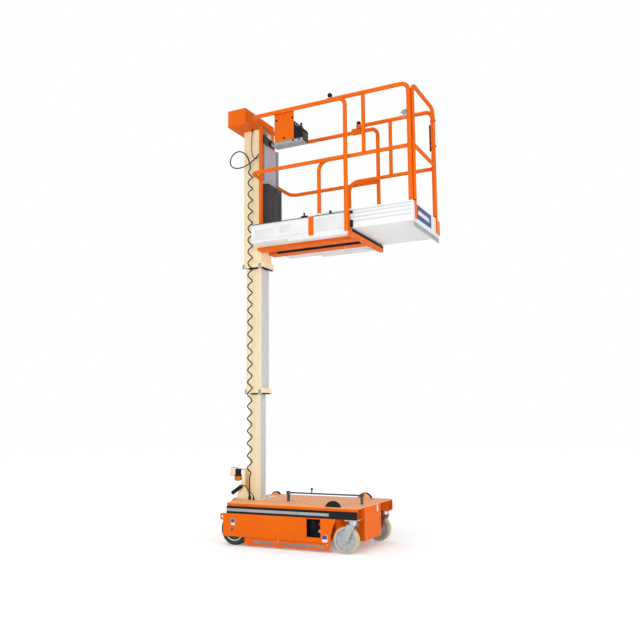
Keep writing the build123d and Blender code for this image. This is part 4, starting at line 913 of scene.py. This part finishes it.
# Beads along the toe boards, in the darker grey of painted rib shade.
bm = bmesh.new()
for side in (-1, 1):
    for z in (2.512, 2.634):
        y = side * TOE_Y
        slab(bm, (TOE_X0 + 0.004, y, z), (TOE_X1 - 0.004, y + side * 0.0010, z + 0.003), 0.0004)
made("toe_board_beads", bm, rib_shade_grey, "platform")
bm = bmesh.new()
for x, wide, reach in ((-0.030, 0.030, 0.026), (0.205, 0.008, 0.016)):
    at = Vector((x, -TOE_Y - 0.002, TOE_TOP + 0.006))
    slab(bm, at + Vector((-wide, -0.006, -0.006)), at + Vector((wide, 0.010, 0.006)), 0.003)
    knob = [(0.0065, 0.0), (0.0065, reach - 0.012), (0.009, reach - 0.008), (0.009, reach - 0.002)]
    turned(bm, at + Vector((0, 0, 0.003)), (0, 0, 1), knob + [(0.006, reach), (0.0, reach)], 20)
made("extension_lock_handles", bm, black_plastic, "platform")

# Under-frame: orange arms and cross bar under the floor. A thin black strip at the deck's
# end edge is a painted shadow line, and black strips on the arms' inner faces are painted
# shade between the arms. Bolts through the cross bar hold the front posts' feet.
dress(orange, "under_frame", "mast_bracket")
spots = [(0.3735, y, 2.446) for y in (-0.30, -0.10, 0.10, 0.30)]
bolts("cross_bar_bolts", "platform", (0, 0, -1), spots, 0.0065)
bm = bmesh.new()
# Thin black strip at the deck's end edge: a painted shadow line.
slab(bm, (0.3895, -0.335, 2.4775), (0.3930, 0.335, 2.4995), 0.0012)
made("deck_edge_shadow_strip", bm, black_rubber, "platform")
# Black strips on the arms' inner faces: painted shade between the arms.
bm = bmesh.new()
for y in (-0.0435, 0.0430):
    slab(bm, (-0.500, y - 0.0025, 2.4695), (0.330, y + 0.003, 2.4940), 0.001)
made("arm_shade_strips", bm, black_rubber, "platform")
spots = [(x, side * 0.096, 2.468) for side in (-1, 1) for x in (-0.53, -0.20, 0.13)]
bolts("arm_bolts", "platform", (0, 0, -1), spots, 0.0065)
spots = [(-0.5765, side * 0.050, z) for side in (-1, 1) for z in (2.56, 2.80, 3.05, 3.30)]
bolts("bracket_bolts", "platform", (1, 0, 0), spots, 0.0075)

# Guard rails: bent steel tube in orange coat. Weld beads ring the joints, rivets hold the
# straps, and black caps close the open ends of the extension's rails.
dress(orange, "platform_rails")
TUBE_R = 0.017
MID_R = 0.016
RAIL_Y = 0.3543
RAIL_TOP = 3.583
RAIL_MID = 3.091
END_POST = (-0.5245, -0.200)
STRAP_RIVET = [(0.0065, 0.0), (0.0060, 0.0016), (0.003, 0.0026), (0.0, 0.0028)]


def weld_rings(bm, rings):
    """Narrow beads round a tube where another meets it."""
    for at, axis, radius in rings:
        bead = [(radius - 0.001, -0.003), (radius + 0.0016, -0.0016), (radius + 0.0022, 0.0)]
        bead += [(radius + 0.0016, 0.0016), (radius - 0.001, 0.003)]
        turned(bm, at, axis, bead, 28)


bm = bmesh.new()
rings = [((0.3515 - TUBE_R - 0.0005, side * RAIL_Y, RAIL_MID), (1, 0, 0), MID_R) for side in (-1, 1)]
rings += [
    ((*END_POST, RAIL_TOP - TUBE_R - 0.0005), (0, 0, 1), TUBE_R),
    ((*END_POST, TOE_TOP + 0.001), (0, 0, 1), TUBE_R),
    ((END_POST[0], END_POST[1] - TUBE_R - 0.0005, RAIL_MID), (0, 1, 0), MID_R),
    ((END_POST[0], 0.1055, RAIL_MID), (0, 1, 0), MID_R),
]
weld_rings(bm, rings)
made("rail_welds", bm, orange, "platform")
bm = bmesh.new()
for side in (-1, 1):
    for z in (2.520, 2.615):
        turned(bm, (0.0305, side * 0.341, z), (0, side, 0), STRAP_RIVET, 18)
made("strap_rivets", bm, orange, "platform")
dress(black_plastic, "rail_caps")
bm = bmesh.new()
for x, side, rise in ((0.2205, -1, 0.006), (0.1705, 1, 0.044)):
    collar = [(0.014, 0.0), (0.014, 0.003), (0.010, 0.006), (0.010, 0.004 + rise)]
    turned(bm, (x, side * RAIL_Y, RAIL_TOP + TUBE_R - 0.002), (0, 0, 1), collar, 24)
made("plunger_collars", bm, zinc, "platform")

# Back plate: pale grey sheet, pierced in rows and held by screws, with both its upright
# edges folded forward and dark. Its holes are drawn as dark dots of painted shade.
PLATE_SCREW = [(0.006, 0.0), (0.006, 0.002), (0.004, 0.0034), (0.0, 0.0036)]
back_grey = coat("back plate sheet", (0.60, 0.57, 0.64), (0.40, 0.40, 0.43), 0.48, metal=0.1)
steel_grey = coat("grey fitting", (0.30, 0.31, 0.32), (0.2, 0.2, 0.2), 0.42)


def pierced(material, pitch, hole):
    """Rows of small round holes, shown by painted shade: a dark colour where each hole is."""
    tree, shader, place = opened(material)
    scaled = layer(tree, "VectorMath", {0: place["Object"], "Scale": 1 / pitch}, operation="SCALE")
    flat = layer(tree, "VectorMath", {0: celled(tree, scaled), 1: (0.0, 1.0, 1.0)}, operation="MULTIPLY")
    away = layer(tree, "VectorMath", {0: flat}, "Value", operation="LENGTH")
    # Dark dots of painted shade where the holes are.
    hole_shade = layer(tree, "MapRange", {"Value": away, "From Min": hole, "From Max": hole * 0.8})
    below = tree.nodes["finish"].outputs[2]
    feed(tree, shader, {"Base Color": painted_over(tree, hole_shade, below, (0.10, 0.10, 0.12))})


pierced(back_grey, 0.022, 0.20)
dress(back_grey, "back_plate")
back_lo, back_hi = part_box("back_plate")
folds = [
    # from and to across the plate, depth
    (back_hi[1] - 0.016, back_hi[1] - 0.001, 0.014),
    (back_lo[1] + 0.001, back_lo[1] + 0.010, 0.010),
]
bm = bmesh.new()
for y0, y1, deep in folds:
    slab(bm, (back_hi[0], y0, back_lo[2] + 0.03), (back_hi[0] + deep, y1, back_hi[2] - 0.002), 0.0012)
made("back_plate_folds", bm, steel_grey, "platform")
bm = bmesh.new()
for y in (back_lo[1] + 0.03, 0.0, back_hi[1] - 0.03):
    for z in (back_lo[2] + 0.05, back_lo[2] + 0.17, back_hi[2] - 0.04):
        turned(bm, (back_hi[0], y, z), (1, 0, 0), PLATE_SCREW, 16)
made("back_plate_screws", bm, zinc, "platform")

# Document box: dark moulded box with a sloped lid that overhangs, a lid catch and two
# moulded ribs down its front.
charcoal = coat("charcoal moulding", (0.040, 0.041, 0.040), (0.10, 0.10, 0.10), 0.40, grain=500.0)
dress(charcoal, "document_box")
doc_lo = Vector((-0.5375, -0.1429, 2.7149))
doc_hi = Vector((-0.4565, 0.0473, 3.0599))
lid_z = doc_hi.z - 0.060
bm = bmesh.new()
for y in (doc_lo.y + 0.030, doc_hi.y - 0.040):
    slab(bm, (doc_hi.x - 0.001, y, doc_lo.z + 0.02), (doc_hi.x + 0.003, y + 0.010, doc_hi.z - 0.075), 0.0015)
for x, y in ((doc_lo.x + 0.010, doc_lo.y + 0.001), (doc_hi.x - 0.001, doc_hi.y)):
    slab(bm, (x, doc_lo.y - 0.0025, lid_z), (doc_hi.x + 0.003, y, lid_z + 0.008), 0.001)
slab(bm, (doc_hi.x, -0.062, lid_z - 0.018), (doc_hi.x + 0.007, -0.034, lid_z + 0.020), 0.002)
for y in (-0.125, 0.030):
    turned(bm, (doc_hi.x, y, doc_lo.z + 0.012), (1, 0, 0), [(0.004, 0), (0.004, 0.001), (0.0, 0.0016)], 14)
made("document_box_trim", bm, charcoal, "platform")

# Connector: a ribbed black housing above the document box, where both leads end in
# glands, with a red latch and a grey bracket on top.
WIDE_GLAND = [(0.011, 0.0), (0.011, 0.010), (0.0085, 0.014), (0.0065, 0.030)]
SLIM_GLAND = [(0.008, 0.0), (0.008, 0.008), (0.005, 0.018), (0.0042, 0.022)]
conn_lo = Vector((-0.5695, -0.152, 3.4299))
conn_hi = Vector((-0.5195, -0.070, 3.4999))
bm = bmesh.new()
for z in (conn_lo.z + 0.018, conn_lo.z + 0.046):
    slab(bm, (conn_lo.x - 0.0015, conn_lo.y - 0.0015, z), (conn_hi.x + 0.0015, conn_hi.y, z + 0.008), 0.0012)
turned(bm, (*UPPER_LEAD[-1][:2], conn_lo.z), (0, 0, -1), WIDE_GLAND, 24)
turned(bm, (*HEAD_LEAD[-1][:2], conn_lo.z), (0, 0, -1), SLIM_GLAND, 20)
slab(bm, (-0.5330, conn_hi.y - 0.001, conn_lo.z + 0.006), (conn_hi.x, 0.012, conn_hi.z - 0.004), 0.003)
for y in (-0.050, -0.030, -0.010):
    low = (conn_hi.x - 0.001, y, conn_lo.z + 0.012)
    slab(bm, low, (conn_hi.x + 0.0015, y + 0.008, conn_hi.z - 0.010), 0.0012)
made("connector_shell", bm, black_plastic, "platform")
conn_top = Vector((conn_lo.x, conn_lo.y, conn_hi.z))
bm = bmesh.new()
slab(bm, conn_top + Vector((0.004, 0.010, 0.0)), conn_top + Vector((0.030, 0.050, 0.018)), 0.0025)
made("connector_latch", bm, red_button, "platform")
bm = bmesh.new()
slab(bm, conn_top + Vector((0.006, 0.030, 0.016)), conn_top + Vector((0.044, 0.075, 0.060)), 0.003)
made("connector_bracket", bm, steel_grey, "platform")

# Controls: an orange plate screwed to the near top rail, and the control box beside it on
# a grey tray. The box has a sloped panel with a red stop button, a lever in a ribbed
# boot, a key switch and plain push buttons.
BOX_FOOT = 3.329
BOX_LENGTH = 0.112
PLATE_BOLT = [(0.009, 0.0), (0.009, 0.0018), (0.0065, 0.0018)]
PLATE_BOLT += [(0.0065, 0.007), (0.005, 0.0085), (0.0, 0.0085)]
STOP = [(0.008, 0), (0.0145, 0.006), (0.0145, 0.011), (0.011, 0.0145), (0.0, 0.016)]
STOP_COLLAR = [(0.018, 0), (0.018, 0.002), (0.012, 0.004), (0.0, 0.004)]
KEY_COLLAR = [(0.010, 0), (0.010, 0.003), (0.007, 0.005), (0.0, 0.005)]
BOOT = [(0.024, -0.002), (0.024, 0.003)]
for i in range(5):
    BOOT += [(0.021 - 0.0028 * i, 0.005 + 0.0055 * i), (0.017 - 0.0026 * i, 0.008 + 0.0055 * i)]
BOOT += [(0.0055, 0.033), (0.0085, 0.036), (0.0100, 0.042), (0.0085, 0.048), (0.005, 0.051), (0.0, 0.052)]
GROMMET = [(0.0085, 0.0), (0.0085, 0.0009), (0.006, 0.0011), (0.0, 0.0007)]
grey = coat("grey sheet", (0.36, 0.40, 0.41), (0.25, 0.26, 0.26), 0.45)
dress(orange, "control_plate")
dress(black_plastic, "control_box")
dress(grey, "control_tray")
plate_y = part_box("control_plate")[0][1]
bm = bmesh.new()
for x, z in ((-0.2885, 3.516), (-0.1355, 3.516), (-0.2175, 3.353)):
    turned(bm, (x, plate_y, z), (0, -1, 0), PLATE_BOLT, 20)
made("control_plate_bolts", bm, black_plastic, "platform")
unit_lo, unit_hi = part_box("control_box")
centre_y = 0.5 * (unit_lo[1] + unit_hi[1])
panel_low = Vector((unit_lo[0] + 0.41 * BOX_LENGTH, centre_y, BOX_FOOT + 0.098))
panel_top = Vector((unit_lo[0] + 0.2 * BOX_LENGTH, centre_y, BOX_FOOT + 0.168))
slope = (panel_low - panel_top).normalized()
facing = Vector((-slope.z, 0.0, slope.x))
middle = panel_low.lerp(panel_top, 0.5)
stop_at = middle + Vector((0, 0.026, 0))
bm = bmesh.new()
turned(bm, stop_at + 0.004 * facing, facing, STOP, 32)
made("control_stop_button", bm, red_button, "platform")
bm = bmesh.new()
turned(bm, stop_at, facing, STOP_COLLAR, 32)
turned(bm, middle + Vector((0, -0.028, 0)), facing, KEY_COLLAR, 28)
made("control_button_collars", bm, zinc, "platform")
bm = bmesh.new()
turned(bm, (unit_lo[0] + 0.64 * BOX_LENGTH, centre_y, BOX_FOOT + 0.101), (0.05, 0, 1), BOOT, 32)
made("control_lever", bm, black_rubber, "platform")
bm = bmesh.new()
for dy in (-0.036, -0.012, 0.012, 0.036):
    at = (unit_hi[0] - 0.011, centre_y + dy, BOX_FOOT + 0.0875)
    turned(bm, at, (0.79, 0, 0.61), [(0.0075, 0), (0.0075, 0.0035), (0.006, 0.005), (0.0, 0.005)], 22)
made("control_push_buttons", bm, steel_grey, "platform")
bm = bmesh.new()
for z in (BOX_FOOT + 0.004, BOX_FOOT + 0.066):
    for x in (unit_lo[0] + 0.014, unit_hi[0] - 0.012):
        turned(bm, (x, unit_hi[1], z), (0, 1, 0), [(0.0045, 0), (0.0045, 0.0012), (0.0, 0.002)], 14)
slab(
    bm, (unit_lo[0] + 0.006, unit_hi[1], BOX_FOOT + 0.030),
    (unit_hi[0] - 0.006, unit_hi[1] + 0.0014, BOX_FOOT + 0.040), 0.0005,
)
slab(
    bm, (unit_hi[0], unit_lo[1] + 0.008, BOX_FOOT - 0.010),
    (unit_hi[0] + 0.0016, unit_hi[1] - 0.008, BOX_FOOT + 0.056), 0.0006,
)
made("control_box_trim", bm, charcoal, "platform")
tray_lo, tray_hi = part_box("control_tray")
fold_y = tray_lo[1] - 0.0022
bm = bmesh.new()
fold_end = (tray_hi[0], tray_lo[1] + 0.0006, tray_hi[2] + 0.020)
slab(bm, (tray_lo[0], fold_y, tray_lo[2] - 0.004), fold_end, 0.0008)
made("control_tray_fold", bm, grey, "platform")
bm = bmesh.new()
for x in (-0.3205, -0.1315, -0.0765):
    turned(bm, (x, fold_y, tray_hi[2] + 0.009), (0, -1, 0), GROMMET, 20)
made("control_tray_grommets", bm, black_rubber, "platform")

# Extension deck: aluminium floor, side boards and end board. Ribs are pressed along each
# side board, drawn darker than the sheet as painted shade, and the end board has a blank
# blue sign over a folded grey edge.
ext_lo, ext_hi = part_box("extension_deck")
bm = bmesh.new()
slab(bm, (ext_hi[0], -0.255, 2.540), (ext_hi[0] + 0.0014, 0.125, 2.650), 0.0005)
made("end_sign_frame", bm, blue_plate, "extension")
bm = bmesh.new()
slab(bm, (ext_hi[0] + 0.0010, -0.205, 2.578), (ext_hi[0] + 0.0020, 0.075, 2.612), 0.0004)
made("end_sign_field", bm, white_plate, "extension")
bm = bmesh.new()
slab(
    bm, (ext_hi[0] - 0.0005, ext_lo[1] + 0.002, ext_lo[2] + 0.0005),
    (ext_hi[0] + 0.0022, ext_hi[1] - 0.002, ext_lo[2] + 0.040), 0.0008,
)
made("end_board_edge", bm, grey, "extension")
spots = [(ext_hi[0] + 0.0022, y, ext_lo[2] + 0.020) for y in (-0.30, -0.15, 0.0, 0.15, 0.30)]
bolts("end_board_bolts", "extension", (1, 0, 0), spots, 0.0045)
bm = bmesh.new()
for side in (-1, 1):
    for z, deep in ((2.556, 0.0022), (2.588, 0.0022), (2.620, 0.0022), (2.644, 0.0026)):
        y = side * ext_hi[1]
        slab(bm, (ext_lo[0] + 0.008, y, z), (ext_hi[0] - 0.010, y + side * deep, z + 0.010), 0.0009)
made("extension_side_beads", bm, rib_shade_grey, "extension")

# Extension rails: bent orange tube on both sides, with a top rail and end post in one
# piece, a hooped middle rail under it and one short strut between them. A rod loop on the
# far side guards the gate's hinge.
dress(orange, "gate_stubs", "gate")
EXT_Y = 0.306
EXT_TOP = 3.613
EXT_MID = 3.107
POST_X = 0.8725
STRUT_X = 0.4905
REAR_X = 0.0905
OPEN_X = 0.1785
TUBE_SIDES = 24
LOOP = [(0.8865, 0.3225, 2.536), (0.8865, 0.363, 2.536), (0.8865, 0.363, 2.676), (0.8865, 0.3225, 2.646)]
END_CAP = [(0.0168, -0.004), (0.0178, 0.0), (0.0178, 0.003), (0.013, 0.006), (0.0, 0.0065)]


def bent_tube(bm, corners, bend, radius, across):
    """Round tube through corners that lie in one plane, every bend of one radius."""
    across = Vector(across)
    corners = [Vector(c) for c in corners]
    course = [corners[0]]
    for before, at, after in zip(corners, corners[1:], corners[2:]):
        back = (before - at).normalized()
        forth = (after - at).normalized()
        half = back.angle(forth) / 2
        middle = at + (back + forth).normalized() * bend / math.sin(half)
        start = (at + back * bend / math.tan(half) - middle).normalized()
        end = (at + forth * bend / math.tan(half) - middle).normalized()
        course += [middle + bend * start.slerp(end, i / 10) for i in range(11)]
    course.append(corners[-1])
    rings = []
    for i, at in enumerate(course):
        way = (course[min(i + 1, len(course) - 1)] - course[max(i - 1, 0)]).normalized()
        third = way.cross(across)
        angles = [math.tau * k / TUBE_SIDES for k in range(TUBE_SIDES)]
        spokes = [math.cos(a) * across + math.sin(a) * third for a in angles]
        rings.append([bm.verts.new(at + radius * spoke) for spoke in spokes])
    for low, high in zip(rings, rings[1:]):
        for k in range(TUBE_SIDES):
            bm.faces.new([low[k], low[k - 1], high[k - 1], high[k]])
    bm.faces.new(rings[0])
    bm.faces.new(rings[-1])


bm = bmesh.new()
for y in (-EXT_Y, EXT_Y):
    outer = [(OPEN_X, y, EXT_TOP), (POST_X, y, EXT_TOP), (POST_X, y, ext_hi[2])]
    hoop = [(REAR_X, y, ext_hi[2]), (REAR_X, y, EXT_MID), (POST_X, y, EXT_MID)]
    bent_tube(bm, outer, 0.062, TUBE_R, (0, 1, 0))
    bent_tube(bm, hoop, 0.085, MID_R, (0, 1, 0))
    bent_tube(bm, [(STRUT_X, y, EXT_MID), (STRUT_X, y, EXT_TOP)], 0.0, MID_R, (0, 1, 0))
bent_tube(bm, LOOP, 0.018, 0.007, (1, 0, 0))
rails = made("extension_tubes", bm, orange, "extension")
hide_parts("extension_rails")
bm = bmesh.new()
for y in (-EXT_Y, EXT_Y):
    turned(bm, (OPEN_X, y, EXT_TOP), (-1, 0, 0), END_CAP, 28)
made("extension_rail_caps", bm, black_plastic, "extension")
bm = bmesh.new()
for y in (-EXT_Y, EXT_Y):
    weld_rings(bm, [
        ((STRUT_X, y, EXT_TOP - TUBE_R - 0.0005), (0, 0, 1), MID_R),
        ((STRUT_X, y, EXT_MID + MID_R + 0.0005), (0, 0, 1), MID_R),
        ((POST_X - TUBE_R - 0.0005, y, EXT_MID), (1, 0, 0), MID_R),
        ((POST_X, y, ext_hi[2] + 0.001), (0, 0, 1), TUBE_R),
        ((REAR_X, y, ext_hi[2] + 0.001), (0, 0, 1), MID_R),
    ])
made("extension_welds", bm, orange, "extension")

# Gate: one bent tube with a middle rail. Its catch is a small grey housing welded to the
# near post, with a spring bolt and a wire ring to pull, and a rubber strip pads the far
# post.
CATCH_Y = -0.3215
RING_XZ = [(0.818, 3.369), (0.806, 3.344), (0.828, 3.322), (0.848, 3.334), (0.846, 3.354)]
CATCH_BOLT = [(0.0, 0.0), (0.0055, 0.0), (0.006, 0.001), (0.006, 0.012), (0.0045, 0.014)]
CATCH_RIVET = [(0.0042, 0), (0.0042, 0.0016), (0.003, 0.0024), (0, 0.0024)]
GATE_X = 0.8905
GATE_Y = 0.267
FOOT_CAP = [(0.0155, -0.003), (0.0162, 0.0), (0.0155, 0.0012), (0.0, 0.0014)]
bm = bmesh.new()
slab(bm, (0.828, -0.3255, 3.352), (POST_X - 0.012, -0.3165, 3.392), 0.0015)
slab(bm, (0.826, -0.3285, 3.362), (0.852, -0.3150, 3.386), 0.002)
turned(bm, (0.814, CATCH_Y, 3.374), (1, 0, 0), CATCH_BOLT, 20)
for z in (3.3585, 3.3865):
    turned(bm, (0.845, -0.3255, z), (0, -1, 0), CATCH_RIVET, 14)
catch = made("gate_catch", bm, steel_grey, "extension")
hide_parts("gate_latch")
bm = bmesh.new()
bent_tube(bm, [(x, CATCH_Y, z) for x, z in RING_XZ], 0.009, 0.0016, (0, 1, 0))
made("gate_catch_wire", bm, zinc, "extension")
bm = bmesh.new()
slab(bm, (POST_X - 0.0285, 0.297, 3.264), (POST_X - 0.015, 0.315, 3.494), 0.002)
made("gate_buffer", bm, black_rubber, "extension")
bm = bmesh.new()
turned(bm, (GATE_X, -GATE_Y, 2.678), (0, 0, -1), FOOT_CAP, 24)
made("gate_foot_cap", bm, black_plastic, "gate")
bm = bmesh.new()
weld_rings(bm, [((GATE_X, side * (GATE_Y - 0.0165), 3.1226), (0, 1, 0), 0.015) for side in (-1, 1)])
made("gate_welds", bm, orange, "gate")

# Sizes of the bare frame and of the dressed machine.
size = {"cad": [list(v) for v in cad_box], "visual": [list(v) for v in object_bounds()]}
